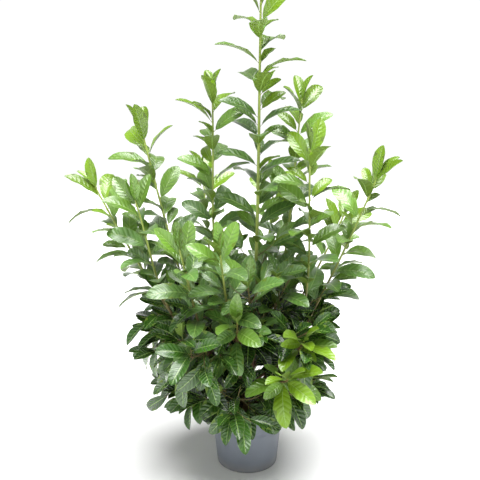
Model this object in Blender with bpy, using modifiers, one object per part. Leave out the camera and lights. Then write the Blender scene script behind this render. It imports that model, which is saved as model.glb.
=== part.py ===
"""Potted cherry laurel: an upright young evergreen shrub in a round nursery pot, at its real size.

Metres, +Z up, +X to the right and +Y to the back of the usual view. The origin is the middle of the pot's
flat underside. A short stem stands on the compost, boughs leave it in turn, and each bough or stretch of
stem carries masses of foliage: one stem, its twigs, and leaves that leave it by the 2/5 turn of the species.
"""

import math

import bmesh
import bpy
import numpy as np
from mathutils import Vector
from mathutils.bvhtree import BVHTree

# Pot, turned about Z
POT_HEIGHT = 0.200
POT_FOOT_RADIUS = 0.095
POT_FOOT_ROUND = 0.002
POT_FOOT_STEP = 0.001
BODY_TOP = 0.120
BODY_TOP_RADIUS = 0.1075
COLLAR_FOOT = 0.142
COLLAR_FOOT_RADIUS = 0.1200
COLLAR_TOP_RADIUS = 0.1255
RIM_PROUD = 0.0022
RIM_ROUND = 0.0009
RIM_DEPTH = 0.007
POT_WALL = 0.0018
POT_FLOOR = 0.0025
POT_SIDES = 32
DRAIN_HOLES = 6
DRAIN_RADIUS = 0.0065
DRAIN_RING = 0.070
DRAIN_SIDES = 12

# Compost
SOIL_TOP = 0.172
SOIL_FALL = 0.004
SOIL_FLAT = 0.030
SOIL_SHOULDER = 0.075
SOIL_SHOULDER_FALL = 0.0014
GAP = 0.0003

# Stem that the whole shrub stands on
TRUNK_TIP = (0.023, 0.000, 0.550)
TRUNK_FOOT_RADIUS = 0.0125
TRUNK_TIP_RADIUS = 0.0068
FLARE = 0.0055
FLARE_HEIGHT = 0.014
TRUNK_SIDES = 8
TRUNK_LEAVE = 84
TRUNK_ARRIVE = 88
LIMB_SIDES = 6

# Boughs: height on the stem, tip, angle above level at which they leave
BOUGHS = {
    "left": (0.206, (-0.175, 0.025, 0.500), 40),
    "front_right": (0.215, (0.090, -0.135, 0.320), 35),
    "right": (0.230, (0.180, 0.020, 0.440), 38),
    "far_left": (0.246, (-0.235, -0.020, 0.500), 36),
    "right_center": (0.262, (0.165, -0.030, 0.470), 35),
    "front_left": (0.276, (-0.100, -0.100, 0.380), 32),
    "back_left": (0.291, (-0.090, 0.145, 0.430), 38),
    "back_right": (0.307, (0.140, 0.110, 0.440), 35),
    "back": (0.326, (0.045, 0.140, 0.470), 38),
    "right_back": (0.348, (0.092, 0.050, 0.500), 42),
    "front": (0.372, (-0.045, -0.120, 0.480), 35),
    "left_center": (0.396, (-0.082, 0.018, 0.540), 40),
}
BOUGH_FOOT_RADIUS = 0.0056
BOUGH_TIP_RADIUS = 0.0047

# Tall shoots: what carries them, where along it, tip, leaves, first leaf's turn, hand, leaf length, seed
SHOOTS = {
    "leader": ("trunk", 1.0, (0.036, 0.000, 1.415), 26, 270, 1, 0.130, 3),
    "left_center": ("bough_left_center", 1.0, (-0.106, 0.050, 1.155), 21, 340, 1, 0.116, 11),
    "right_back": ("bough_right_back", 1.0, (0.170, 0.140, 1.140), 20, 320, -1, 0.120, 11),
    "right_center": ("bough_right_center", 1.0, (0.181, -0.050, 0.995), 18, 230, 1, 0.128, 35),
    "right": ("bough_right", 1.0, (0.388, 0.000, 0.920), 17, 10, 1, 0.122, 92),
    "left": ("bough_left", 1.0, (-0.322, 0.080, 1.045), 20, 200, -1, 0.122, 103),
    "far_left": ("bough_far_left", 1.0, (-0.458, 0.020, 0.880), 15, 330, 1, 0.120, 145),
    "left_mid": ("bough_far_left", 0.80, (-0.326, -0.065, 0.850), 13, 300, -1, 0.122, 1),
    "front_left": ("bough_front_left", 1.0, (-0.188, -0.200, 0.735), 14, 70, 1, 0.120, 3),
    "front": ("bough_front", 1.0, (-0.078, -0.205, 0.730), 11, 90, 1, 0.120, 22),
    "front_low": ("bough_front", 0.66, (-0.031, -0.240, 0.545), 8, 270, 1, 0.114, 3),
    "front_right": ("bough_front_right", 1.0, (0.110, -0.262, 0.388), 7, 20, 1, 0.122, 5),
    "low_right": ("bough_right_center", 0.62, (0.158, -0.190, 0.470), 8, 40, -1, 0.116, 7),
    "back": ("bough_back", 1.0, (0.092, 0.255, 0.860), 14, 100, 1, 0.114, 11),
    "back_right": ("bough_back_right", 1.0, (0.330, 0.220, 0.775), 12, 60, -1, 0.114, 12),
    "back_left": ("bough_back_left", 1.0, (-0.150, 0.275, 0.900), 14, 120, 1, 0.114, 13),
}
LEADER_RADII = (0.0060, 0.0032)
SHOOT_RADII = (0.0041, 0.0026)
SHOOT_RISE = 0.12
SIDE_SHOOT_SINK = 0.5

# Rings of lower masses: count, first azimuth, reach, tip height, angles at foot and tip, leaves, twigs, droop
RINGS = {
    "shoulder": (6, 340, 0.185, 0.620, 50, 60, 9, 1, 0.25),
    "middle": (8, 5, 0.240, 0.450, 42, 22, 10, 2, 0.45),
    "skirt": (8, 0, 0.215, 0.285, 40, -8, 8, 2, 0.60),
}
RING_MIDDLE = (-0.035, 0.0, 0.0)
RING_WOBBLE = 0.10
RING_HEIGHT_WOBBLE = 0.06
RING_TURN_WOBBLE = 8
RING_LIGHT = 0.75
RING_FIRST_LEAF = 70
GOLDEN_SHARE = 0.618
SHOULDER_FROM = (0.400, 0.500)
SKIRT_FROM = (0.184, 0.191)
MIDDLE_ALONG = (0.50, 0.72)
RING_LEAF = 0.108
MASS_FOOT_RADIUS = 0.0032
MASS_TIP_RADIUS = 0.0018
ROUTE_HANDLE = 0.36
TWIG_SHARE = 0.42
TWIG_FIRST = 0.42
TWIG_NEXT = 0.26
TWIG_RISE = 0.25
TWIG_ANGLE = 48
TWIG_LEAVES = 3
TWIG_LEAF_SHARE = 0.92
TWIG_FIRST_LEAF = 50
TWIG_FOOT_RADIUS = 0.0024

# Leaves
LEAF_STEP = 0.030
TIP_STEP_SHARE = 0.36
TIP_STEP_GAIN = 0.16
FIRST_BELOW_TIP = 0.004
LEAST_STEP = 0.0105
UPRIGHT_FROM = 0.55
FIFTHS_TURN = 144
TURN_WOBBLE = 13
SPREAD_TIP = 16
SPREAD_FULL = 44
SPREAD_AGE = 5
SPREAD_WOBBLE = 7
DROOP_WOBBLE = 0.4
SIZE_WOBBLE = 0.08
STEP_WOBBLE = 0.12
ROLL = 36
ARCH_YOUNG = 14
ARCH_FULL = 52
ARCH_WOBBLE = 10
FOLD_YOUNG = 27
FOLD_FULL = 12
SHAPED_BY = 4
WIDTH_SHARE = 0.46
WIDEST = 1.12
FULLNESS = 0.72
SPINE_DROP = 0.0006
PETIOLE = 0.013
SHOOT_DROOP = 0.10
LEAN_DROOP = 0.5
SHOOT_LIGHT = 0.80
LIGHT_WAY = (0.0, -0.50, 0.87)
ROOT_SUNK = 0.0016
YOUNG_SIZES = (0.70, 0.84, 0.94, 1.0)
SECTIONS = (0.34, 0.72)
OTHER_TURNS = (0, 16, -16, 32, -32, 48, -48)
ROUTE_TURNS = (0, 9, -9, 18, -18, 27, -27, 36, -36)
SHOOT_SWINGS = (0, 0.15, -0.15, 0.3, -0.3, 0.5, -0.5)
ROUTE_LIFTS = (0, 0.03, -0.03, 0.06)
CLEAR = 0.0012

LEAF_MAT = ((0.085, 0.230, 0.030, 1.0), 0.38)
YOUNG_LEAF_MAT = ((0.220, 0.420, 0.045, 1.0), 0.35)
BARK_MAT = ((0.170, 0.085, 0.040, 1.0), 0.80)
POT_MAT = ((0.155, 0.180, 0.215, 1.0), 0.50)
SOIL_MAT = ((0.035, 0.022, 0.014, 1.0), 0.95)


def clear_scene():
    for thing in list(bpy.data.objects):
        bpy.data.objects.remove(thing, do_unlink=True)


def collection(name):
    made = bpy.data.collections.new(name)
    bpy.context.scene.collection.children.link(made)
    return made


def material(name, finish):
    made = bpy.data.materials.new(name)
    made.use_nodes = True
    shader = made.node_tree.nodes["Principled BSDF"]
    shader.inputs["Base Color"].default_value = finish[0]
    shader.inputs["Roughness"].default_value = finish[1]
    shader.inputs["Metallic"].default_value = 0.0
    return made


def unit(vector):
    return vector / np.linalg.norm(vector)


def heading(azimuth, elevation):
    """Unit vector from an azimuth about Z and an angle above level, both in degrees."""
    turn = math.radians(azimuth)
    rise = math.radians(elevation)
    return np.array((math.cos(turn) * math.cos(rise), math.sin(turn) * math.cos(rise), math.sin(rise)))


def azimuth_of(vector):
    return math.degrees(math.atan2(vector[1], vector[0]))


def route(foot, tip, leave, arrive, count=6):
    """Points on the cubic that leaves the foot along one heading and reaches the tip along another."""
    reach = ROUTE_HANDLE * np.linalg.norm(tip - foot)
    share = np.linspace(0.0, 1.0, count)[:, None]
    rest = 1.0 - share
    first = foot + reach * leave
    second = tip - reach * arrive
    return rest**3 * foot + 3 * rest**2 * share * first + 3 * rest * share**2 * second + share**3 * tip


def lengths_along(points):
    steps = np.linalg.norm(np.diff(points, axis=0), axis=1)
    return np.concatenate(([0.0], np.cumsum(steps)))


def place_on(points, distance):
    """The point and the unit direction of a chain of straight stretches at a distance from its foot."""
    along = lengths_along(points)
    distance = min(max(distance, 0.0), along[-1])
    index = min(int(np.searchsorted(along, distance, side="right")) - 1, len(points) - 2)
    step = points[index + 1] - points[index]
    return points[index] + step * (distance - along[index]) / np.linalg.norm(step), unit(step)


def taper(count, foot, tip):
    return np.linspace(foot, tip, count)


def limb(name, points, radii, sides=LIMB_SIDES):
    """A closed tube through the points, as a mesh object that is in no collection yet."""
    curve = bpy.data.curves.new(name, "CURVE")
    curve.dimensions = "3D"
    curve.bevel_depth = 1.0
    curve.bevel_resolution = (sides - 4) // 2
    curve.use_fill_caps = True
    spline = curve.splines.new("POLY")
    spline.points.add(len(points) - 1)
    for point, place, radius in zip(spline.points, points, radii):
        point.co = (*place, 1.0)
        point.radius = radius
    drawn = bpy.data.objects.new(name, curve)
    bpy.context.scene.collection.objects.link(drawn)
    graph = bpy.context.evaluated_depsgraph_get()
    mesh = bpy.data.meshes.new_from_object(drawn.evaluated_get(graph))
    place = drawn.matrix_world.copy()
    bpy.data.objects.remove(drawn, do_unlink=True)
    bpy.data.curves.remove(curve)
    work = bmesh.new()
    work.from_mesh(mesh)
    bmesh.ops.remove_doubles(work, verts=work.verts, dist=1e-6)
    bmesh.ops.triangulate(work, faces=work.faces)
    bmesh.ops.recalc_face_normals(work, faces=work.faces)
    work.to_mesh(mesh)
    work.free()
    made = bpy.data.objects.new(name, mesh)
    made.matrix_world = place
    return made


def apply_boolean(target, operation, solver="EXACT", other=None, others=None):
    """Joins or cuts with one Boolean and keeps the result as the target's own mesh."""
    change = target.modifiers.new(operation.lower(), "BOOLEAN")
    change.operation = operation
    change.solver = solver
    if others is not None:
        change.operand_type = "COLLECTION"
        change.collection = others
    else:
        change.object = other
    graph = bpy.context.evaluated_depsgraph_get()
    mesh = bpy.data.meshes.new_from_object(target.evaluated_get(graph))
    target.modifiers.clear()
    target.data = mesh


def finish_node(thing, home, look):
    for old in list(thing.users_collection):
        old.objects.unlink(thing)
    home.objects.link(thing)
    thing.data.materials.clear()
    thing.data.materials.append(look)
    return thing


def turned(name, profile, home, look):
    """A shape turned about Z from a profile of (radius, height), inner face first and underside last."""
    mesh = bpy.data.meshes.new(name)
    corners = [(radius, 0.0, height) for radius, height in profile]
    mesh.from_pydata(corners, [(i, i + 1) for i in range(len(corners) - 1)], [])
    made = bpy.data.objects.new(name, mesh)
    home.objects.link(made)
    screw = made.modifiers.new("turn", "SCREW")
    screw.steps = POT_SIDES
    screw.render_steps = POT_SIDES
    screw.use_merge_vertices = True
    screw.merge_threshold = 0.00001
    screw.use_smooth_shade = True
    mesh.materials.append(look)
    return made


def pot_outside():
    """(radius, height) from the rim down to the edge of the underside."""
    rim_radius = COLLAR_TOP_RADIUS + RIM_PROUD
    return [
        (COLLAR_TOP_RADIUS, POT_HEIGHT),
        (rim_radius - RIM_ROUND, POT_HEIGHT),
        (rim_radius, POT_HEIGHT - RIM_ROUND),
        (rim_radius, POT_HEIGHT - RIM_DEPTH),
        (COLLAR_TOP_RADIUS, POT_HEIGHT - RIM_DEPTH - RIM_ROUND),
        (COLLAR_FOOT_RADIUS, COLLAR_FOOT),
        (BODY_TOP_RADIUS, BODY_TOP),
        (POT_FOOT_RADIUS + POT_FOOT_STEP, POT_FOOT_ROUND),
        (POT_FOOT_RADIUS, 0.0),
    ]


def pot_inside(gap=0.0):
    """(radius, height) of the inner face, from the floor's edge up to the rim, moved in by a gap."""
    inward = POT_WALL + gap
    return [
        (POT_FOOT_RADIUS + POT_FOOT_STEP - inward, POT_FLOOR + gap),
        (BODY_TOP_RADIUS - inward, BODY_TOP),
        (COLLAR_FOOT_RADIUS - inward, COLLAR_FOOT),
        (COLLAR_TOP_RADIUS - inward, POT_HEIGHT),
    ]


def make_pot(home, cutters):
    profile = [(0.0, POT_FLOOR), *pot_inside(), *pot_outside(), (0.0, 0.0)]
    pot = turned("pot", profile, home, material("pot plastic", POT_MAT))
    for index in range(DRAIN_HOLES):
        turn = 2 * math.pi * (index + 0.5) / DRAIN_HOLES
        bpy.ops.mesh.primitive_cylinder_add(
            vertices=DRAIN_SIDES, radius=DRAIN_RADIUS, depth=4 * POT_FLOOR,
            location=(DRAIN_RING * math.cos(turn), DRAIN_RING * math.sin(turn), 0.0),
        )
        hole = bpy.context.object
        hole.name = f"drain_cutter_{index + 1}"
        for old in list(hole.users_collection):
            old.objects.unlink(hole)
        cutters.objects.link(hole)
        hole.hide_render = True
        hole.display_type = "WIRE"
    cut = pot.modifiers.new("drain holes", "BOOLEAN")
    cut.operation = "DIFFERENCE"
    cut.operand_type = "COLLECTION"
    cut.collection = cutters
    return pot


def soil_edge():
    """Radius of the compost where its top meets the collar."""
    share = (SOIL_TOP - SOIL_FALL - COLLAR_FOOT) / (POT_HEIGHT - COLLAR_FOOT)
    wall = COLLAR_FOOT_RADIUS + share * (COLLAR_TOP_RADIUS - COLLAR_FOOT_RADIUS)
    return wall - POT_WALL - GAP


def make_soil(home):
    lower = pot_inside(GAP)[:3]
    top = SOIL_TOP - SOIL_FALL
    profile = [
        (0.0, SOIL_TOP),
        (SOIL_FLAT, SOIL_TOP),
        (SOIL_SHOULDER, SOIL_TOP - SOIL_SHOULDER_FALL),
        (soil_edge(), top),
        *reversed(lower),
        (0.0, POT_FLOOR + GAP),
    ]
    return turned("soil", profile, home, material("compost", SOIL_MAT))


class Space:
    """What is already in place, so that the next stem, twig or leaf can be kept clear of it."""

    def __init__(self):
        self.lows = []
        self.highs = []
        self.trees = []
        self.owners = []

    def add(self, owner, points, faces):
        self.lows.append(points.min(axis=0))
        self.highs.append(points.max(axis=0))
        self.trees.append(BVHTree.FromPolygons([Vector(p) for p in points], faces))
        self.owners.append(owner)

    def free(self, points, faces, but=None):
        """Whether a closed shape touches nothing here, apart from what one owner has."""
        if not self.trees:
            return True
        low = points.min(axis=0)
        high = points.max(axis=0)
        near = np.all((np.array(self.lows) <= high) & (np.array(self.highs) >= low), axis=1)
        tree = BVHTree.FromPolygons([Vector(p) for p in points], faces)
        return not any(
            self.trees[i].overlap(tree) for i in np.flatnonzero(near) if self.owners[i] != but
        )


def shape_of(thing):
    points = np.array([thing.matrix_world @ v.co for v in thing.data.vertices])
    return points, [tuple(face.vertices) for face in thing.data.polygons]


def tube_shape(points, radius):
    """A plain three-sided tube round a chain of points, for tests of clearance."""
    ends = np.vstack((points, points[-1:] + (points[-1:] - points[-2:-1])))
    ahead = unit_rows(np.diff(ends, axis=0))
    side = unit_rows(np.cross(ahead, (0.31, 0.17, 0.93)))
    other = np.cross(ahead, side)
    turns = np.radians((0, 120, 240))
    rings = [points + radius * (math.cos(t) * side + math.sin(t) * other) for t in turns]
    corners = np.stack(rings, axis=1).reshape(-1, 3)
    faces = [(0, 1, 2), tuple(len(corners) - n for n in (1, 2, 3))]
    for ring in range(len(points) - 1):
        for k in range(3):
            a = 3 * ring + k
            b = 3 * ring + (k + 1) % 3
            faces.append((a, b, b + 3, a + 3))
    return corners, faces


def unit_rows(rows):
    return rows / np.linalg.norm(rows, axis=1)[:, None]


LEAF_FACES = [(0, 2, 1), (0, 3, 2), (0, 1, 3)]
LEAF_FACES += [(1, 2, 5), (1, 5, 4), (2, 3, 6), (2, 6, 5), (3, 1, 4), (3, 4, 6)]
LEAF_FACES += [(4, 5, 7), (5, 6, 7), (6, 4, 7)]


def half_width(share):
    """Half of a leaf's width as a share of its full width: wedge-shaped foot, widest past the middle."""
    return 0.5 * math.sin(math.pi * share**WIDEST) ** FULLNESS


def leaf_points(leaf, more=0.0):
    """Eight corners: the root past the stem's middle, two folded sections, and the tip. More fattens them."""
    side = np.cross(leaf["ahead"], leaf["up"])
    blade = leaf["length"]
    curl = leaf["arch"] / blade
    start = leaf["root"] + leaf["petiole"] * leaf["ahead"]
    corners = [leaf["root"] + (0.8 * leaf["petiole"] if more else -ROOT_SUNK) * leaf["ahead"]]
    for share in SECTIONS:
        turn = curl * blade * share
        middle = start + (math.sin(turn) * leaf["ahead"] - (1 - math.cos(turn)) * leaf["up"]) / curl
        over = math.cos(turn) * leaf["up"] + math.sin(turn) * leaf["ahead"]
        wide = leaf["width"] * half_width(share) + more
        edge = middle + (wide * math.sin(leaf["fold"]) + more) * over
        corners.append(edge - wide * math.cos(leaf["fold"]) * side)
        corners.append(edge + wide * math.cos(leaf["fold"]) * side)
        corners.append(middle - (SPINE_DROP + more) * over)
    turn = leaf["arch"]
    tip = start + (math.sin(turn) * leaf["ahead"] - (1 - math.cos(turn)) * leaf["up"]) / curl
    end = math.cos(turn) * leaf["ahead"] - math.sin(turn) * leaf["up"]
    corners.append(tip + more * end)
    return np.array(corners)


def leaf_plan(points, count, first_turn, hand, size, droop, light, draws):
    """Where a stem's leaves sit and how they point, from its tip down, before any is tried for room.

    Each leaf is a fixed share of a turn round from the one above. It leaves the stem at an angle that opens
    with age, sinks by droop, and turns its upper face to the light.
    """
    whole = points[-1] - points[0]
    upright = unit(whole)[2] > UPRIGHT_FROM
    distance = lengths_along(points)[-1] - FIRST_BELOW_TIP
    plans = []
    for age in range(count):
        noise = draws.uniform(-1.0, 1.0, 6)
        if distance < LEAST_STEP:
            break
        root, ahead = place_on(points, distance)
        across = np.array((1.0, 0.0, 0.0)) if upright else np.cross((0.0, 0.0, 1.0), unit(whole))
        east = unit(across - across.dot(ahead) * ahead)
        north = np.cross(ahead, east)
        opened = min(1.0, age / SPREAD_AGE)
        young = YOUNG_SIZES[age] if age < len(YOUNG_SIZES) else 1.0
        shaped = min(1.0, age / SHAPED_BY)
        plans.append({
            "root": root, "stem": ahead, "east": east, "north": north,
            "turn": first_turn + hand * FIFTHS_TURN * age + TURN_WOBBLE * noise[1],
            "spread": SPREAD_TIP + (SPREAD_FULL - SPREAD_TIP) * opened + SPREAD_WOBBLE * noise[0],
            "droop": droop * opened * (1 + DROOP_WOBBLE * noise[2]),
            "light": light, "roll": ROLL * noise[3],
            "length": size * young * (1 + SIZE_WOBBLE * noise[4]),
            "arch": math.radians(ARCH_YOUNG + (ARCH_FULL - ARCH_YOUNG) * shaped + ARCH_WOBBLE * noise[5]),
            "fold": math.radians(FOLD_YOUNG + (FOLD_FULL - FOLD_YOUNG) * shaped),
        })
        step = min(1.0, TIP_STEP_SHARE + TIP_STEP_GAIN * age) * LEAF_STEP
        distance -= step * (1 + STEP_WOBBLE * noise[2])
    return plans


def leaf_at(plan, more_turn):
    """A leaf's own axes from its plan, turned a little further round the stem."""
    turn = math.radians(plan["turn"] + more_turn)
    spread = math.radians(plan["spread"])
    out = math.cos(turn) * plan["east"] + math.sin(turn) * plan["north"]
    ahead = math.cos(spread) * plan["stem"] + math.sin(spread) * out
    ahead = unit(ahead - np.array((0.0, 0.0, plan["droop"])))
    sky = plan["light"] * np.array(LIGHT_WAY) + (1 - plan["light"]) * plan["stem"]
    up = unit(sky - sky.dot(ahead) * ahead)
    roll = math.radians(plan["roll"])
    up = math.cos(roll) * up + math.sin(roll) * np.cross(ahead, up)
    return {
        "root": plan["root"], "ahead": ahead, "up": up, "petiole": PETIOLE, "length": plan["length"],
        "width": WIDTH_SHARE * plan["length"], "arch": plan["arch"], "fold": plan["fold"],
    }


def grow_leaves(space, owner, plans):
    """The leaves of a stem that find room, each tried at a few turns. One that finds none is left out."""
    kept = []
    for plan in plans:
        for more_turn in OTHER_TURNS:
            leaf = leaf_at(plan, more_turn)
            points = leaf_points(leaf)
            if space.free(leaf_points(leaf, CLEAR), LEAF_FACES) and space.free(points, LEAF_FACES, owner):
                space.add(owner, points, LEAF_FACES)
                kept.append(points)
                break
    return kept


def twig_plans(points, count, first_turn, draws):
    """Twigs that leave a stem in its plane, to either side by turns."""
    total = lengths_along(points)[-1]
    plans = []
    for index in range(count):
        noise = draws.uniform(-1.0, 1.0, 4)
        foot, ahead = place_on(points, total * (TWIG_FIRST + TWIG_NEXT * index + 0.05 * noise[0]))
        side = unit(np.cross((0.0, 0.0, 1.0), ahead))
        lean = math.radians(TWIG_ANGLE + 8 * noise[1])
        way = side if (index + first_turn) % 2 else -side
        leave = math.cos(lean) * ahead + math.sin(lean) * way
        arrive = unit(leave + np.array((0.0, 0.0, TWIG_RISE * (1 + 0.8 * noise[2]))))
        tip = foot + TWIG_SHARE * total * (1 + 0.15 * noise[3]) * unit(leave + arrive)
        plans.append(route(foot, tip, leave, arrive, 3))
    return plans


def leaves_object(name, all_points):
    mesh = bpy.data.meshes.new(name)
    work = bmesh.new()
    for points in all_points:
        corners = [work.verts.new(p) for p in points]
        for face in LEAF_FACES:
            work.faces.new([corners[i] for i in face])
    bmesh.ops.recalc_face_normals(work, faces=work.faces)
    work.to_mesh(mesh)
    work.free()
    return bpy.data.objects.new(name, mesh)


def join_mass(name, stem, pieces, leaves, home, look):
    """Fuses twigs and leaves onto their stem with one union on a collection, which is then emptied."""
    group = collection(f"{name}_parts")
    bpy.context.scene.collection.objects.link(stem)
    for piece in pieces:
        group.objects.link(piece)
    for index, points in enumerate(leaves):
        group.objects.link(leaves_object(f"{name}_leaf_{index}", [points]))
    apply_boolean(stem, "UNION", "MANIFOLD", others=group)
    for piece in list(group.objects):
        bpy.data.objects.remove(piece, do_unlink=True)
    bpy.data.collections.remove(group)
    return finish_node(stem, home, look)


class Shrub:
    """The limbs made so far, by name, with the space that they take."""

    def __init__(self, home):
        self.home = home
        self.space = Space()
        self.routes = {}
        self.radii = {}
        self.sides = {}
        self.bark = material("brown bark", BARK_MAT)
        self.leafy = material("leaves", LEAF_MAT)
        self.young = material("young leaves", YOUNG_LEAF_MAT)

    def hull(self, name, more):
        """A fatter copy of a limb, run on past its tip, that cuts the seat of what it carries."""
        points = self.routes[name].copy()
        points[-1] += more * unit(points[-1] - points[-2])
        return limb(f"{name}_seat", points, self.radii[name] + more, self.sides[name])

    def seat(self, thing, carrier):
        """Cuts a limb's foot to fit what carries it, a hair clear."""
        cutter = self.hull(carrier, GAP)
        bpy.context.scene.collection.objects.link(thing)
        bpy.context.scene.collection.objects.link(cutter)
        apply_boolean(thing, "DIFFERENCE", other=cutter)
        bpy.data.objects.remove(cutter, do_unlink=True)
        bpy.context.scene.collection.objects.unlink(thing)

    def grow(self, name, carrier, points, radii, sides=LIMB_SIDES):
        thing = limb(name, points, radii, sides)
        if carrier:
            self.seat(thing, carrier)
        self.routes[name] = points
        self.radii[name] = np.asarray(radii)
        self.sides[name] = sides
        shape = shape_of(thing)
        self.space.add(name, *shape)
        return thing

    def foot_on(self, carrier, share):
        points = self.routes[carrier]
        if share >= 1.0:
            ahead = unit(points[-1] - points[-2])
            return points[-1] - 0.5 * self.radii[carrier][-1] * ahead, ahead
        return place_on(points, share * lengths_along(points)[-1])

    def clear_route(self, carrier, choices, radius):
        """The first of several routes that touches no limb, and its carrier only at its seat."""
        for points in choices:
            whole = tube_shape(points, radius + CLEAR)
            if self.space.free(*whole, carrier) and self.space.free(*tube_shape(points[1:], radius + CLEAR)):
                return points
        raise ValueError(f"no clear route from {carrier}")


def trunk_share(shrub, height):
    points = shrub.routes["trunk"]
    heights = points[:, 2]
    along = lengths_along(points)
    return float(np.interp(height, heights, along) / along[-1])


def make_trunk(shrub):
    foot = np.array((0.0, 0.0, SOIL_TOP + GAP))
    tip = np.array(TRUNK_TIP)
    points = route(foot, tip, heading(0, TRUNK_LEAVE), heading(0, TRUNK_ARRIVE), 10)
    points = np.vstack((foot, foot + (0.0, 0.0, 0.008), foot + (0.001, 0.0, 0.020), points[1:]))
    heights = points[:, 2] - foot[2]
    radii = np.interp(heights, (0.0, heights[-1]), (TRUNK_FOOT_RADIUS, TRUNK_TIP_RADIUS))
    radii = radii + FLARE * np.exp(-heights / FLARE_HEIGHT)
    trunk = shrub.grow("trunk", None, points, radii, TRUNK_SIDES)
    return finish_node(trunk, shrub.home, shrub.bark)


def make_bough(shrub, key, shoot_tip):
    height, tip, leave = BOUGHS[key]
    name = f"bough_{key}"
    foot, _ = shrub.foot_on("trunk", trunk_share(shrub, height))
    tip = np.array(tip)
    arrive = unit(np.array(shoot_tip) - tip)
    way = azimuth_of(tip - foot)
    choices = [route(foot, tip, heading(way + more, leave), arrive) for more in ROUTE_TURNS]
    points = shrub.clear_route("trunk", choices, BOUGH_FOOT_RADIUS)
    radii = taper(len(points), BOUGH_FOOT_RADIUS, BOUGH_TIP_RADIUS)
    bough = shrub.grow(name, "trunk", points, radii)
    return finish_node(bough, shrub.home, shrub.bark)


def plan_shoot(shrub, key):
    """The stem of a tall shoot, which goes on from its carrier and straightens as it rises."""
    carrier, share, tip = SHOOTS[key][:3]
    foot, ahead = shrub.foot_on(carrier, share)
    tip = np.array(tip)
    line = unit(tip - foot)
    arrive = unit(line + (0.0, 0.0, SHOOT_RISE))
    leave = ahead if share >= 1.0 else unit(line - (0.0, 0.0, SIDE_SHOOT_SINK))
    side = unit(np.cross(line, (0.0, 0.0, 1.0)))
    choices = [route(foot, tip, unit(leave + swing * side), arrive, 7) for swing in SHOOT_SWINGS]
    thick, thin = LEADER_RADII if key == "leader" else SHOOT_RADII
    points = shrub.clear_route(carrier, choices, thick)
    radii = taper(len(points), thick, thin)
    return shrub.grow(f"shoot_{key}", carrier, points, radii, 4)


def ring_rows():
    """Name, ring's row, azimuth, reach, tip height and a share from 0 to 1 for every lower mass."""
    rows = []
    for ring, (count, first, reach, height, *_) in RINGS.items():
        draws = np.random.default_rng(len(ring) * 100 + count)
        for index in range(count):
            noise = draws.uniform(-1.0, 1.0, 3)
            azimuth = (first + 360 * index / count + RING_TURN_WOBBLE * noise[0]) % 360
            far = reach * (1 + RING_WOBBLE * noise[1])
            high = height * (1 + RING_HEIGHT_WOBBLE * noise[2])
            rows.append((f"{ring}_{index + 1}", ring, azimuth, far, high, (index * GOLDEN_SHARE) % 1.0))
    return rows


def nearest_bough(azimuth):
    """The bough whose tip lies closest to an azimuth, seen from above."""
    def apart(key):
        return abs((azimuth_of(BOUGHS[key][1]) - azimuth + 180) % 360 - 180)
    return min(BOUGHS, key=apart)


def plan_ring_mass(shrub, name, ring, azimuth, far, high, share):
    leave, end = RINGS[ring][4:6]
    if ring == "middle":
        carrier = f"bough_{nearest_bough(azimuth)}"
        along = MIDDLE_ALONG[0] + share * (MIDDLE_ALONG[1] - MIDDLE_ALONG[0])
    else:
        span = SHOULDER_FROM if ring == "shoulder" else SKIRT_FROM
        carrier = "trunk"
        along = trunk_share(shrub, span[0] + share * (span[1] - span[0]))
    foot, _ = shrub.foot_on(carrier, along)
    choices = []
    for lift in ROUTE_LIFTS:
        for more in ROUTE_TURNS:
            out = heading(azimuth + more, 0)
            tip = far * out + RING_MIDDLE + (0.0, 0.0, high + lift)
            way = azimuth_of(tip - foot)
            choices.append(route(foot, tip, heading(way, leave), heading(way, end), 5))
    points = shrub.clear_route(carrier, choices, MASS_FOOT_RADIUS)
    radii = taper(len(points), MASS_FOOT_RADIUS, MASS_TIP_RADIUS)
    return shrub.grow(name, carrier, points, radii, 4)


def leaf_up_shoot(shrub, key):
    name = f"shoot_{key}"
    count, first, hand, size, seed = SHOOTS[key][3:]
    draws = np.random.default_rng(seed)
    points = shrub.routes[name]
    droop = SHOOT_DROOP + LEAN_DROOP * (1.0 - unit(points[-1] - points[0])[2])
    plans = leaf_plan(points, count, first, hand, size, droop, SHOOT_LIGHT, draws)
    return grow_leaves(shrub.space, name, plans)


def leaf_up_ring_mass(shrub, name, ring):
    leaves, twigs, droop = RINGS[ring][6:]
    number = int(name.split("_")[1])
    draws = np.random.default_rng(sum(map(ord, ring)) + 17 * number)
    points = shrub.routes[name]
    hand = 1 if number % 2 else -1
    first = RING_FIRST_LEAF * number
    pieces = []
    kept = grow_leaves(
        shrub.space, name, leaf_plan(points, leaves, first, hand, RING_LEAF, droop, RING_LIGHT, draws)
    )
    for index, way in enumerate(twig_plans(points, twigs, number, draws)):
        whole = tube_shape(way, TWIG_FOOT_RADIUS + CLEAR)
        outer = tube_shape(way[1:], TWIG_FOOT_RADIUS + CLEAR)
        if not (shrub.space.free(*whole, name) and shrub.space.free(*outer)):
            continue
        piece = limb(f"{name}_twig_{index}", way, taper(len(way), TWIG_FOOT_RADIUS, MASS_TIP_RADIUS), 4)
        pieces.append(piece)
        shrub.space.add(name, *shape_of(piece))
        size = TWIG_LEAF_SHARE * RING_LEAF
        first = TWIG_FIRST_LEAF * index
        plans = leaf_plan(way, TWIG_LEAVES, first, -hand, size, droop, RING_LIGHT, draws)
        kept += grow_leaves(shrub.space, name, plans)
    return pieces, kept


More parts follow.
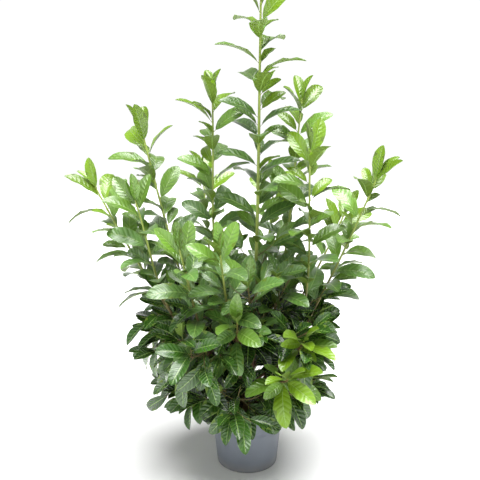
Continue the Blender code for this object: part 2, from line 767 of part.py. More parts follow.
def main():
    clear_scene()
    home = collection("potted cherry laurel")
    cutters = collection("cutters")
    pot = make_pot(home, cutters)
    soil = make_soil(home)
    shrub = Shrub(home)
    graph = bpy.context.evaluated_depsgraph_get()
    for turned_part in (pot, soil):
        mesh = turned_part.evaluated_get(graph).to_mesh()
        points = np.array([v.co for v in mesh.vertices])
        shrub.space.add(turned_part.name, points, [tuple(face.vertices) for face in mesh.polygons])
    bpy.context.scene.collection.children.unlink(home)
    make_trunk(shrub)
    for key in BOUGHS:
        make_bough(shrub, key, SHOOTS[key][2])
    stems = {f"shoot_{key}": plan_shoot(shrub, key) for key in SHOOTS}
    rows = ring_rows()
    for name, ring, azimuth, far, high, share in rows:
        stems[name] = plan_ring_mass(shrub, name, ring, azimuth, far, high, share)
    for key in SHOOTS:
        leaves = leaf_up_shoot(shrub, key)
        join_mass(f"shoot_{key}", stems[f"shoot_{key}"], [], leaves, home, shrub.young)
    for name, ring, *_ in rows:
        pieces, leaves = leaf_up_ring_mass(shrub, name, ring)
        join_mass(name, stems[name], pieces, leaves, home, shrub.leafy)
    bpy.context.scene.collection.children.link(home)


if __name__ == "__main__":
    main()
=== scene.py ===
"""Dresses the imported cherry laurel: leaves, stems, bark, pot, compost, stage, light and camera."""

import math

import bpy
import numpy as np
from bpy.props import FloatProperty, FloatVectorProperty, IntProperty, PointerProperty
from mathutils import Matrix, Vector
from mathutils.bvhtree import BVHTree
from mathutils.kdtree import KDTree


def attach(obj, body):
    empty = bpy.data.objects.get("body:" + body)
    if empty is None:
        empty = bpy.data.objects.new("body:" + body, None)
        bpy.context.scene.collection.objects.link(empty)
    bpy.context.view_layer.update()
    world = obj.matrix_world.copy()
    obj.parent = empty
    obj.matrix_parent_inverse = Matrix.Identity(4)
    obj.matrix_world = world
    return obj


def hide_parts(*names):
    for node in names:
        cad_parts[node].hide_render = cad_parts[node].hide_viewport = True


bl_info = {
    "name": "Potted cherry laurel looks",
    "version": (1, 0, 0),
    "blender": (4, 5, 0),
    "location": "3D View > Sidebar > Laurel",
    "description": "Leaves, stems, bark, pot and compost for the packed cherry laurel",
    "category": "Object",
}

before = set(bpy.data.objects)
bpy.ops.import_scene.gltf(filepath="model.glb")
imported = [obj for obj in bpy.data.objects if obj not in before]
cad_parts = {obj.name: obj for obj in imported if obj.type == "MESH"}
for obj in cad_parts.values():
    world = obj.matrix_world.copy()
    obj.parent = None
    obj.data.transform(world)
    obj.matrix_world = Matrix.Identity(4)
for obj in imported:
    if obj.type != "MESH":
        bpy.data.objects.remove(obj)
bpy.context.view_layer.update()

# Growth rule of the CAD source, in its own numbers
POT_HEIGHT = 0.200
POT_FOOT_RADIUS = 0.095
BODY_TOP = 0.120
BODY_TOP_RADIUS = 0.1075
COLLAR_FOOT = 0.142
COLLAR_FOOT_RADIUS = 0.1200
COLLAR_TOP_RADIUS = 0.1255
RIM_PROUD = 0.0022
RIM_ROUND = 0.0009
RIM_DEPTH = 0.007
POT_WALL = 0.0018
POT_FLOOR = 0.0025
DRAIN_HOLES = 6
DRAIN_RADIUS = 0.0065
DRAIN_RING = 0.070
SOIL_TOP = 0.172
SOIL_FALL = 0.004
GAP = 0.0003
TRUNK_TIP = (0.023, 0.000, 0.550)
TRUNK_FOOT_RADIUS = 0.0125
TRUNK_TIP_RADIUS = 0.0068
FLARE = 0.0055
FLARE_HEIGHT = 0.014
TRUNK_LEAVE = 84
TRUNK_ARRIVE = 88
BOUGHS = {
    "left": (0.206, (-0.175, 0.025, 0.500), 40),
    "front_right": (0.215, (0.090, -0.135, 0.320), 35),
    "right": (0.230, (0.180, 0.020, 0.440), 38),
    "far_left": (0.246, (-0.235, -0.020, 0.500), 36),
    "right_center": (0.262, (0.165, -0.030, 0.470), 35),
    "front_left": (0.276, (-0.100, -0.100, 0.380), 32),
    "back_left": (0.291, (-0.090, 0.145, 0.430), 38),
    "back_right": (0.307, (0.140, 0.110, 0.440), 35),
    "back": (0.326, (0.045, 0.140, 0.470), 38),
    "right_back": (0.348, (0.092, 0.050, 0.500), 42),
    "front": (0.372, (-0.045, -0.120, 0.480), 35),
    "left_center": (0.396, (-0.082, 0.018, 0.540), 40),
}
BOUGH_FOOT_RADIUS = 0.0056
BOUGH_TIP_RADIUS = 0.0047
SHOOTS = {
    "leader": ("trunk", 1.0, (0.036, 0.000, 1.415), 26, 270, 1, 0.130, 3),
    "left_center": ("bough_left_center", 1.0, (-0.106, 0.050, 1.155), 21, 340, 1, 0.116, 11),
    "right_back": ("bough_right_back", 1.0, (0.170, 0.140, 1.140), 20, 320, -1, 0.120, 11),
    "right_center": ("bough_right_center", 1.0, (0.181, -0.050, 0.995), 18, 230, 1, 0.128, 35),
    "right": ("bough_right", 1.0, (0.388, 0.000, 0.920), 17, 10, 1, 0.122, 92),
    "left": ("bough_left", 1.0, (-0.322, 0.080, 1.045), 20, 200, -1, 0.122, 103),
    "far_left": ("bough_far_left", 1.0, (-0.458, 0.020, 0.880), 15, 330, 1, 0.120, 145),
    "left_mid": ("bough_far_left", 0.80, (-0.326, -0.065, 0.850), 13, 300, -1, 0.122, 1),
    "front_left": ("bough_front_left", 1.0, (-0.188, -0.200, 0.735), 14, 70, 1, 0.120, 3),
    "front": ("bough_front", 1.0, (-0.078, -0.205, 0.730), 11, 90, 1, 0.120, 22),
    "front_low": ("bough_front", 0.66, (-0.031, -0.240, 0.545), 8, 270, 1, 0.114, 3),
    "front_right": ("bough_front_right", 1.0, (0.110, -0.262, 0.388), 7, 20, 1, 0.122, 5),
    "low_right": ("bough_right_center", 0.62, (0.158, -0.190, 0.470), 8, 40, -1, 0.116, 7),
    "back": ("bough_back", 1.0, (0.092, 0.255, 0.860), 14, 100, 1, 0.114, 11),
    "back_right": ("bough_back_right", 1.0, (0.330, 0.220, 0.775), 12, 60, -1, 0.114, 12),
    "back_left": ("bough_back_left", 1.0, (-0.150, 0.275, 0.900), 14, 120, 1, 0.114, 13),
}
LEADER_RADII = (0.0060, 0.0032)
SHOOT_RADII = (0.0041, 0.0026)
SHOOT_RISE = 0.12
SIDE_SHOOT_SINK = 0.5
RINGS = {
    "shoulder": (6, 340, 0.185, 0.620, 50, 60, 9, 1, 0.25),
    "middle": (8, 5, 0.240, 0.450, 42, 22, 10, 2, 0.45),
    "skirt": (8, 0, 0.215, 0.285, 40, -8, 8, 2, 0.60),
}
RING_MIDDLE = (-0.035, 0.0, 0.0)
RING_WOBBLE = 0.10
RING_HEIGHT_WOBBLE = 0.06
RING_TURN_WOBBLE = 8
RING_LIGHT = 0.75
RING_FIRST_LEAF = 70
GOLDEN_SHARE = 0.618
SHOULDER_FROM = (0.400, 0.500)
SKIRT_FROM = (0.184, 0.191)
MIDDLE_ALONG = (0.50, 0.72)
RING_LEAF = 0.108
MASS_FOOT_RADIUS = 0.0032
MASS_TIP_RADIUS = 0.0018
ROUTE_HANDLE = 0.36
TWIG_SHARE = 0.42
TWIG_FIRST = 0.42
TWIG_NEXT = 0.26
TWIG_RISE = 0.25
TWIG_ANGLE = 48
TWIG_LEAVES = 3
TWIG_LEAF_SHARE = 0.92
TWIG_FIRST_LEAF = 50
TWIG_FOOT_RADIUS = 0.0024
TWIG_PLACE_WOBBLE = 0.05
TWIG_ANGLE_WOBBLE = 8
TWIG_RISE_WOBBLE = 0.8
TWIG_LENGTH_WOBBLE = 0.15
RING_SEED = 100
MASS_SEED = 17
FOOT_RISES = ((0.0, 0.0, 0.008), (0.001, 0.0, 0.020))
LEAF_STEP = 0.030
TIP_STEP_SHARE = 0.36
TIP_STEP_GAIN = 0.16
FIRST_BELOW_TIP = 0.004
LEAST_STEP = 0.0105
UPRIGHT_FROM = 0.55
FIFTHS_TURN = 144
TURN_WOBBLE = 13
SPREAD_TIP = 16
SPREAD_FULL = 44
SPREAD_AGE = 5
SPREAD_WOBBLE = 7
DROOP_WOBBLE = 0.4
SIZE_WOBBLE = 0.08
STEP_WOBBLE = 0.12
ROLL = 36
ARCH_YOUNG = 14
ARCH_FULL = 52
ARCH_WOBBLE = 10
FOLD_YOUNG = 27
FOLD_FULL = 12
SHAPED_BY = 4
WIDTH_SHARE = 0.46
WIDEST = 1.12
FULLNESS = 0.72
SPINE_DROP = 0.0006
PETIOLE = 0.013
SHOOT_DROOP = 0.10
LEAN_DROOP = 0.5
SHOOT_LIGHT = 0.80
LIGHT_WAY = (0.0, -0.50, 0.87)
ROOT_SUNK = 0.0016
YOUNG_SIZES = (0.70, 0.84, 0.94, 1.0)
SECTIONS = (0.34, 0.72)
OTHER_TURNS = (0, 16, -16, 32, -32, 48, -48)
ROUTE_TURNS = (0, 9, -9, 18, -18, 27, -27, 36, -36)
SHOOT_SWINGS = (0, 0.15, -0.15, 0.3, -0.3, 0.5, -0.5)
ROUTE_LIFTS = (0, 0.03, -0.03, 0.06)
SAME_PLACE = 0.00005
CHAIN_POINTS = {"trunk": 10, "bough": 6, "shoot": 7, "ring": 5, "twig": 3, "fine": 4}

# Finer growth that only the looks carry: finer twigs, stem leaves, folded end leaves and buds
FINE_CLEAR = 0.0010
SHORTEST_STEP = 0.001
FINE_STALK_SHARE = 0.8
CROWN_NEAR = 0.052
SLANT = (0.31, 0.17, 0.93)
FINE_SEED = 900
FINE_TURN = 137.5
CARRIER_TURN = 40
FINE_PLACE_WOBBLE = 0.4
FINE_LEAN = 0.95
FINE_RISE = 0.35
FINE_RISE_WOBBLE = 0.2
FINE_LENGTH_WOBBLE = 0.3
FINE_SIZE_WOBBLE = 0.12
FINE_LIGHT = 0.70
FINE_LEAF_STEP = 0.022
FINE_GUARD_RADIUS = 0.0012
FINE_GUARD_SIDES = 4
FINE_RADII = (0.0015, 0.0010)
STEM_LEAF_SEED = 3000
STEM_LEAF_SEED_STEP = 100
STEM_LEAF_SHARES = (0.25, 0.92)
STEM_LEAF_STEP = 0.044
STEM_LEAF_SIZES = (0.095, 0.125)
STEM_LEAF_DROOP = 0.15
STEM_LEAF_LIGHT = 0.75
STEM_LEAF_AGE = 14
STEM_LEAF_SPREAD = 42
STEM_LEAF_ARCH = 0.8
STEM_LEAF_FOLD = 16
STEM_LEAF_TURN = 24
END_SEED = 5000
END_LEAVES = 3
END_LEAF = 0.085
END_LIGHT = 0.20
END_SPREAD = 6
END_SPREAD_STEP = 3
END_ARCH = 12
END_FOLD = 52
END_WIDTH_SHARE = 0.62
END_SLIP = 0.004
END_TURN = 30
END_BUD = (0.011, 0.0028)
SIDE_BUD = (0.0055, 0.0015)

# Finer twigs: what they grow on, shares along it, twigs, leaves on each, leaf length, length, droop
FINE = {
    "middle": ((0.30, 0.98), 10, 5, 0.098, 0.085, 0.45),
    "skirt": ((0.35, 0.98), 10, 5, 0.096, 0.080, 0.60),
    "shoulder": ((0.25, 0.90), 8, 5, 0.098, 0.080, 0.30),
    "bough": ((0.35, 0.98), 12, 5, 0.104, 0.090, 0.40),
    "shoot": ((0.02, 0.16), 4, 3, 0.104, 0.065, 0.20),
    "trunk": ((0.22, 0.98), 40, 5, 0.104, 0.130, 0.35),
}

# Shape of the dressed leaves and limbs
LEAF_STATIONS = (0.0, 0.06, 0.18, 0.36, 0.56, 0.75, 0.88, 0.96, 1.0)
LEAF_ACROSS = (-1.0, -0.52, 0.0, 0.52, 1.0)
STALK_TURNS = (180, 126, 90, 54, 0, -90)
FACE_SLOTS = (0, 0, 0, 0, 1, 1)
STALK_SLOT = 2
STALK_RADIUS = 0.0011
STALK_START = -0.1
BLADE_FULLNESS = 0.60
BLADE_THICK = 0.0010
NARROWEST = 0.0009
FULL_WIDTH = 0.044
MARGIN_WAVE = 0.0022
MARGIN_WAVES = (1.5, 3.2)
MARGIN_DOWN = 0.12
MARGIN_AGE = 1.3
FOLD_MORE = 8
LEAF_SEED = 40
STEM_SIDES = 8
FINE_SIDES = 5
BARK_SIDES = 20
BARK_SEED = 700
BARK_WAVES = 5
BARK_PITCH = 18
BARK_SWING = 1.6
BARK_FOLDS = 2
SHARP_FROM = 70

# Tints: by age on the shoots, and by height and depth in the lower mass; the inner leaves' near-black shade
# tint is painted shade
TINTS = ("lime", "fresh", "green", "deep", "shade")
GREY_SHOOTS = ("shoot_front_left", "shoot_front", "shoot_front_low", "shoot_left_mid")
GREY_FRESH_AGE = 4
LIME_AGE = 5
FRESH_AGE = 12
SHOULDER_AGE = 3
FINE_AGE = 2
OUTER_AGE = 3
UPPER_CROWN = 0.60
CROWN_MIDDLE = (-0.03, 0.0, 0.45)
CROWN_REACH = (0.36, 0.34, 0.36)
FINE_SHADE_WITHIN = 0.75
SKIRT_SHADE_WITHIN = 0.9
OUTSIDE = 1.05

# Leaf finish by tint: share of the vein depth, how much side veins show, coat, roughness of the coat
LEAF_FINISH = {
    "lime": (0.50, 0.24, 0.5, 0.34), "fresh": (0.85, 0.24, 0.9, 0.34), "green": (1.2, 0.22, 1.0, 0.32),
    "deep": (1.4, 0.08, 0.8, 0.24), "shade": (1.2, 0.04, 0.5, 0.24),
}
LEAF_ROUGH = 0.24
LEAF_IOR = 1.5
COAT_IOR = 1.55
UNDERSIDE_FINISH = (0.0005, 0.12, 0.0, 0.3)
UNDERSIDE_ROUGH = 0.5
VEINS = 8
VEIN_SLANT = 0.34
VEIN_SHARPNESS = 12.0
VEIN_WANDER = 0.06
WANDER_SCALE = 45.0
MIDRIB_HALF = 0.026
MIDRIB_SHOWS = 0.75
MIDRIB_SUNK = 0.8
MARGIN_FROM = 0.478
MARGIN_SHOWS = 0.35
LEAF_DARK = 0.70
LEAF_LIGHT = 1.25
PATCH_SCALE = 38.0
PATCH_SHARE = 0.35

# Stems: they turn from brown to green between two heights, with patches and a fine grain
BROWN_BELOW = 0.50
GREEN_ABOVE = 0.76
STEM_PATCH_SCALE = 30.0
STEM_PATCH_SWAY = 0.08
STEM_GRAIN_SCALE = 220.0
STEM_DARKER = 0.72
OLD_STEM_DARKER = 0.5
STEM_ROUGH = 0.42
STEM_BUMP = 0.0003
FINE_GRAIN = (4.0, 0.6)

# Plain looks: scale of the grain, roughness and depth of the bumps
PLAIN_LOOKS = {
    "leaf stalk": (40, 0.5, 0.0002), "brown twig": (30, 0.6, 0.0004), "bud scale": (260, 0.45, 0.0002),
    "brown bark": (90, 0.8, 0.0012), "bark compost": (160, 0.95, 0.004), "bark chip": (190, 0.85, 0.001),
    "old bark chip": (190, 0.9, 0.001), "pale floor": (4, 0.9, 0.0),
}
PLAIN_GRAIN = (5.0, 0.6)
BARK_STRETCH = (1.0, 1.0, 0.35)
BARK_DARKER = 0.45
COMPOST_LIGHTER = 2.6
CHIP_DARKER = 0.35
OLD_CHIP_DARKER = 0.55
FLOOR_TONES = ((0.86, 0.86, 0.86), (0.88, 0.88, 0.88))

# Pot plastic: broad patches, upright streaks, fine grain, and dust that falls off upwards
POT_PATCH_SCALE = 14.0
POT_TONES = (0.82, 1.16)
STREAK_SCALE = 55.0
STREAK_STRETCH = (1.0, 1.0, 0.06)
STREAK_SHARE = 0.5
POT_GRAIN_SCALE = 420.0
SPLASH_GRAIN = (90.0, 5.0, 0.7)
SPLASH_FALL = (0.0, 0.035, 0.75, 0.0)
POT_ROUGH = (0.18, 0.36)
POT_BUMP = 0.0002

# Points along the limbs, and the shape and place of the buds
STEM_POINTS = 40
TWIG_POINTS = 18
FINE_POINTS = 6
TRUNK_POINTS = 70
BOUGH_POINTS = 44
GUARD_POINTS = 8
CROWN_POINTS = 16
BUD_STATIONS = 5
BUD_SIDES = 6
BUD_SWELL = 0.7
BUD_LEAST = 0.10
END_BUD_SUNK = 0.001
SIDE_BUD_LEAN = 0.8
SIDE_BUD_OUT = 0.003

# Pot: each corner of its outer profile, and the small offsets from it that round it
RIM = COLLAR_TOP_RADIUS + RIM_PROUD
RIM_FOOT = POT_HEIGHT - RIM_DEPTH
POT_CORNERS = (
    ((RIM, POT_HEIGHT), (
        (-RIM_ROUND, 0.0), (-0.25 * RIM_ROUND, -0.25 * RIM_ROUND), (0.0, -RIM_ROUND)
    )),
    ((RIM, RIM_FOOT), ((0.0, 0.0005), (-0.0005, 0.0))),
    ((COLLAR_TOP_RADIUS, RIM_FOOT), ((0.0003, -0.0003), (-0.0001, -0.0015))),
    ((COLLAR_FOOT_RADIUS, COLLAR_FOOT), ((0.0004, 0.002), (-0.0003, 0.0004), (-0.0012, -0.0008))),
    ((BODY_TOP_RADIUS, BODY_TOP), ((0.0006, 0.001), (-0.0002, -0.002))),
    ((POT_FOOT_RADIUS, 0.0), ((0.0013, 0.004), (0.0008, 0.0012), (-0.0002, 0.0))),
)
RIM_INSIDE = 0.0005
POT_SIDES = 128
POT_GUARD_RADIUS = 0.128
POT_GUARD_SIDES = 24
HOLE_SIDES = 32
HOLE_REACH = 0.005

# Compost: lumps, and the calm bands round the trunk and along the wall
LUMP = 0.0022
LUMP_WAVES = 8
LUMP_TURN = 2.4
LUMP_PITCH = 60
LUMP_PITCH_STEP = 55
CALM_TO = 0.020
CALM_FADE = 0.025
EDGE_FADE = 0.004
SOIL_SUNK = 0.001
SOIL_START = 0.003
SOIL_RINGS = 44
SOIL_SIDES = 120

# Bark chips on the compost
CHIP_SEED = 77
CHIP_LEAST = (0.0030, 0.0018, 0.0008)
CHIP_MOST = (0.0075, 0.0042, 0.0018)
CHIP_FROM = 0.024
CHIP_TO_EDGE = 0.009
CHIP_JITTER = 0.35
CHIP_TILT = 0.5
CHIP_LIFT = 0.0012

# Stage: camera, what the lights look at, and how the white surround fades upwards
EYE = (-0.023, -1.98, 1.148)
EYE_TILT = 78
FILM_WIDTH = 36.0
LIT_POINT = (0.0, 0.0, 0.6)
KEY_PLACE = (0.35, -0.3, 4.2)
KEY_SPREAD = 50
FILL_PLACE = (-2.2, -2.4, 2.6)
KEY_POWER = 6.4
FILL_WIDTH = 1.6
FILL_POWER = 18.0
SURROUND = (0.18, 0.44, 1.05, 0.20)
FLOOR_SUNK = 0.0004


def unit(vector):
    """A vector divided by its own length."""
    return vector / np.linalg.norm(vector)


def unit_rows(rows):
    """Each row divided by its own length."""
    return rows / np.linalg.norm(rows, axis=-1, keepdims=True)


def heading(azimuth, elevation):
    """Unit vector: the azimuth's cosine and sine times the elevation's cosine, and the elevation's sine."""
    turn = math.radians(azimuth)
    rise = math.radians(elevation)
    return np.array((math.cos(turn) * math.cos(rise), math.sin(turn) * math.cos(rise), math.sin(rise)))


def azimuth_of(vector):
    """Angle about Z of a vector, in degrees."""
    return math.degrees(math.atan2(vector[1], vector[0]))


def route(foot, tip, leave, arrive, count=6):
    """Cubic curve in points: both handles are a set share of the distance along the two headings."""
    reach = ROUTE_HANDLE * np.linalg.norm(tip - foot)
    share = np.linspace(0.0, 1.0, count)[:, None]
    rest = 1.0 - share
    first = foot + reach * leave
    second = tip - reach * arrive
    return rest**3 * foot + 3 * rest**2 * share * first + 3 * rest * share**2 * second + share**3 * tip


def lengths_along(points):
    """Running sum of the distances between the points of a chain."""
    steps = np.linalg.norm(np.diff(points, axis=0), axis=1)
    return np.concatenate(([0.0], np.cumsum(steps)))


def place_on(points, distance):
    """The point and unit direction of a chain of straight stretches at a distance from its foot."""
    along = lengths_along(points)
    distance = min(max(distance, 0.0), along[-1])
    index = min(int(np.searchsorted(along, distance, side="right")) - 1, len(points) - 2)
    step = points[index + 1] - points[index]
    return points[index] + step * (distance - along[index]) / np.linalg.norm(step), unit(step)


def half_width(share):
    """Half a leaf's width over its full width: half the sine of pi share^1.12, to the power 0.72."""
    return 0.5 * np.sin(np.pi * np.asarray(share) ** WIDEST) ** FULLNESS


# The source's leaf as triangles over its eight corners, and the same without its root
LEAF_FACES = [(0, 2, 1), (0, 3, 2), (0, 1, 3)]
LEAF_FACES += [(1, 2, 5), (1, 5, 4), (2, 3, 6), (2, 6, 5), (3, 1, 4), (3, 4, 6)]
LEAF_FACES += [(4, 5, 7), (5, 6, 7), (6, 4, 7)]
END_FACES = [(a - 1, b - 1, c - 1) for a, b, c in LEAF_FACES if 0 not in (a, b, c)]


def leaf_points(leaf, more=0.0):
    """The source's eight-cornered leaf: root, two folded sections on the midrib's arc, and tip.

    With more than nothing added it is the same leaf grown by that much all round, without most of its stalk.
    """
    side = np.cross(leaf["ahead"], leaf["up"])
    blade = leaf["length"]
    curl = leaf["arch"] / blade
    start = leaf["root"] + leaf["petiole"] * leaf["ahead"]
    sunk = FINE_STALK_SHARE * leaf["petiole"] if more else -ROOT_SUNK
    corners = [leaf["root"] + sunk * leaf["ahead"]]
    for share in SECTIONS:
        turn = curl * blade * share
        middle = start + (math.sin(turn) * leaf["ahead"] - (1 - math.cos(turn)) * leaf["up"]) / curl
        over = math.cos(turn) * leaf["up"] + math.sin(turn) * leaf["ahead"]
        wide = leaf["width"] * half_width(share) + more
        edge = middle + (wide * math.sin(leaf["fold"]) + more) * over
        corners.append(edge - wide * math.cos(leaf["fold"]) * side)
        corners.append(edge + wide * math.cos(leaf["fold"]) * side)
        corners.append(middle - (SPINE_DROP + more) * over)
    turn = leaf["arch"]
    tip = start + (math.sin(turn) * leaf["ahead"] - (1 - math.cos(turn)) * leaf["up"]) / curl
    end = math.cos(turn) * leaf["ahead"] - math.sin(turn) * leaf["up"]
    corners.append(tip + more * end)
    return np.array(corners)


def leaf_plan(points, count, first_turn, hand, size, droop, light, draws, step_length=LEAF_STEP):
    """The source's leaves from a stem's tip down: each two fifths of a turn on, opening as it ages."""
    whole = points[-1] - points[0]
    upright = unit(whole)[2] > UPRIGHT_FROM
    distance = lengths_along(points)[-1] - FIRST_BELOW_TIP
    plans = []
    for age in range(count):
        noise = draws.uniform(-1.0, 1.0, 6)
        if distance < LEAST_STEP:
            break
        root, ahead = place_on(points, distance)
        across = np.array((1.0, 0.0, 0.0)) if upright else np.cross((0.0, 0.0, 1.0), unit(whole))
        east = unit(across - across.dot(ahead) * ahead)
        north = np.cross(ahead, east)
        opened = min(1.0, age / SPREAD_AGE)
        shaped = min(1.0, age / SHAPED_BY)
        young = YOUNG_SIZES[age] if age < len(YOUNG_SIZES) else 1.0
        plans.append({
            "root": root, "stem": ahead, "east": east, "north": north, "age": age,
            "turn": first_turn + hand * FIFTHS_TURN * age + TURN_WOBBLE * noise[1],
            "spread": SPREAD_TIP + (SPREAD_FULL - SPREAD_TIP) * opened + SPREAD_WOBBLE * noise[0],
            "droop": droop * opened * (1 + DROOP_WOBBLE * noise[2]),
            "light": light, "roll": ROLL * noise[3],
            "length": size * young * (1 + SIZE_WOBBLE * noise[4]),
            "arch": math.radians(ARCH_YOUNG + (ARCH_FULL - ARCH_YOUNG) * shaped + ARCH_WOBBLE * noise[5]),
            "fold": math.radians(FOLD_YOUNG + (FOLD_FULL - FOLD_YOUNG) * shaped),
        })
        step = min(1.0, TIP_STEP_SHARE + TIP_STEP_GAIN * age) * step_length
        distance -= step * (1 + STEP_WOBBLE * noise[2])
    return plans


def leaf_at(plan, more_turn):
    """A leaf's axes: the stem leaned out by the spread, sunk by the droop, its face turned to the light."""
    turn = math.radians(plan["turn"] + more_turn)
    spread = math.radians(plan["spread"])
    out = math.cos(turn) * plan["east"] + math.sin(turn) * plan["north"]
    ahead = math.cos(spread) * plan["stem"] + math.sin(spread) * out
    ahead = unit(ahead - np.array((0.0, 0.0, plan["droop"])))
    sky = plan["light"] * np.array(LIGHT_WAY) + (1 - plan["light"]) * plan["stem"]
    up = unit(sky - sky.dot(ahead) * ahead)
    roll = math.radians(plan["roll"])
    up = math.cos(roll) * up + math.sin(roll) * np.cross(ahead, up)
    return {
        "root": plan["root"], "ahead": ahead, "up": up, "petiole": PETIOLE, "length": plan["length"],
        "width": WIDTH_SHARE * plan["length"], "arch": plan["arch"], "fold": plan["fold"],
        "age": plan["age"], "stem": plan["stem"],
    }


def twig_plans(points, count, first_turn, draws):
    """The source's twigs, which leave a stem in its plane to either side by turns."""
    total = lengths_along(points)[-1]
    plans = []
    for index in range(count):
        noise = draws.uniform(-1.0, 1.0, 4)
        share = TWIG_FIRST + TWIG_NEXT * index + TWIG_PLACE_WOBBLE * noise[0]
        foot, ahead = place_on(points, total * share)
        side = unit(np.cross((0.0, 0.0, 1.0), ahead))
        lean = math.radians(TWIG_ANGLE + TWIG_ANGLE_WOBBLE * noise[1])
        way = side if (index + first_turn) % 2 else -side
        leave = math.cos(lean) * ahead + math.sin(lean) * way
        arrive = unit(leave + np.array((0.0, 0.0, TWIG_RISE * (1 + TWIG_RISE_WOBBLE * noise[2]))))
        far = TWIG_SHARE * total * (1 + TWIG_LENGTH_WOBBLE * noise[3])
        tip = foot + far * unit(leave + arrive)
        plans.append((foot, tip, leave, arrive, CHAIN_POINTS["twig"]))
    return plans


def ring_rows():
    """Name, ring, azimuth, reach, tip height and a share from 0 to 1 for every lower mass."""
    rows = []
    for ring, (count, first, reach, height, *_) in RINGS.items():
        draws = np.random.default_rng(len(ring) * RING_SEED + count)
        for index in range(count):
            noise = draws.uniform(-1.0, 1.0, 3)
            azimuth = (first + 360 * index / count + RING_TURN_WOBBLE * noise[0]) % 360
            far = reach * (1 + RING_WOBBLE * noise[1])
            high = height * (1 + RING_HEIGHT_WOBBLE * noise[2])
            rows.append((f"{ring}_{index + 1}", ring, azimuth, far, high, (index * GOLDEN_SHARE) % 1.0))
    return rows


def nearest_bough(azimuth):
    """The bough whose tip lies closest to an azimuth, seen from above."""
    def apart(key):
        return abs((azimuth_of(BOUGHS[key][1]) - azimuth + 180) % 360 - 180)
    return min(BOUGHS, key=apart)


def vertices_of(node):
    """All corners of a CAD node's mesh as one array."""
    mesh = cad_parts[node].data
    places = np.empty(3 * len(mesh.vertices), np.float32)
    mesh.vertices.foreach_get("co", places)
    return places.reshape(-1, 3).astype(float)


def tree_of(points):
    """A search tree over points."""
    tree = KDTree(len(points))
    for index, point in enumerate(points):
        tree.insert(point, index)
    tree.balance()
    return tree


class Growth:
    """The shrub grown again by the source's rule, each choice read off from the CAD nodes."""

    def __init__(self):
        self.lines = {}
        self.leaves = []
        self.chains = {}
        self.trees = {name: tree_of(vertices_of(name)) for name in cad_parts}

    def has(self, node, place, radius=0.0):
        """Whether a node has a corner at a distance from a place."""
        near = self.trees[node].find_range(place, radius + SAME_PLACE)
        return any(abs(row[2] - radius) < SAME_PLACE for row in near)

    def add_line(self, name, curve, radii):
        """Keeps a limb's straight stretches, on which its leaves sit, and its finer curve."""
        foot, tip, leave, arrive, count = curve
        self.chains[name] = route(foot, tip, leave, arrive, count)
        self.lines[name] = (curve, radii)

    def foot_on(self, carrier, share, radius):
        """Where a limb leaves another and the way it points there: sunk in by half a radius at its end."""
        points = self.chains[carrier]
        if share >= 1.0:
            ahead = unit(points[-1] - points[-2])
            return points[-1] - 0.5 * radius * ahead, ahead
        return place_on(points, share * lengths_along(points)[-1])

    def matched(self, node, plans):
        """The leaves of some plans that the node's mesh has, each with the turn that the source chose."""
        found = []
        for plan in plans:
            for more_turn in OTHER_TURNS:
                leaf = leaf_at(plan, more_turn)
                if self.has(node, leaf_points(leaf)[-1]):
                    found.append(leaf)
                    break
        return found


def trunk_share(growth, height):
    """The share of the trunk's length at which it reaches a height."""
    points = growth.chains["trunk"]
    along = lengths_along(points)
    return float(np.interp(height, points[:, 2], along) / along[-1])


def grow_trunk(growth):
    """The trunk, whose straight stretches start with two short ones in its flare."""
    foot = np.array((0.0, 0.0, SOIL_TOP + GAP))
    leave, arrive = (heading(0, rise) for rise in (TRUNK_LEAVE, TRUNK_ARRIVE))
    curve = (foot, np.array(TRUNK_TIP), leave, arrive, CHAIN_POINTS["trunk"])
    growth.add_line("trunk", curve, (TRUNK_FOOT_RADIUS, TRUNK_TIP_RADIUS))
    points = growth.chains["trunk"]
    points = np.vstack((foot, *(foot + rise for rise in FOOT_RISES), points[1:]))
    growth.chains["trunk"] = points


def grow_boughs(growth):
    """Each bough by the turn at which most of its cross-sections are in the CAD node."""
    for key, (height, tip, leave) in BOUGHS.items():
        name = f"bough_{key}"
        foot, _ = growth.foot_on("trunk", trunk_share(growth, height), TRUNK_TIP_RADIUS)
        tip = np.array(tip)
        arrive = unit(np.array(SHOOTS[key][2]) - tip)
        count = CHAIN_POINTS["bough"]
        radii = np.linspace(BOUGH_FOOT_RADIUS, BOUGH_TIP_RADIUS, count)
        best = (-1, None)
        for more in ROUTE_TURNS:
            curve = (foot, tip, heading(azimuth_of(tip - foot) + more, leave), arrive, count)
            found = sum(growth.has(name, point, radius) for point, radius in zip(route(*curve), radii))
            if found > best[0]:
                best = (found, curve)
        growth.add_line(name, best[1], (BOUGH_FOOT_RADIUS, BOUGH_TIP_RADIUS))


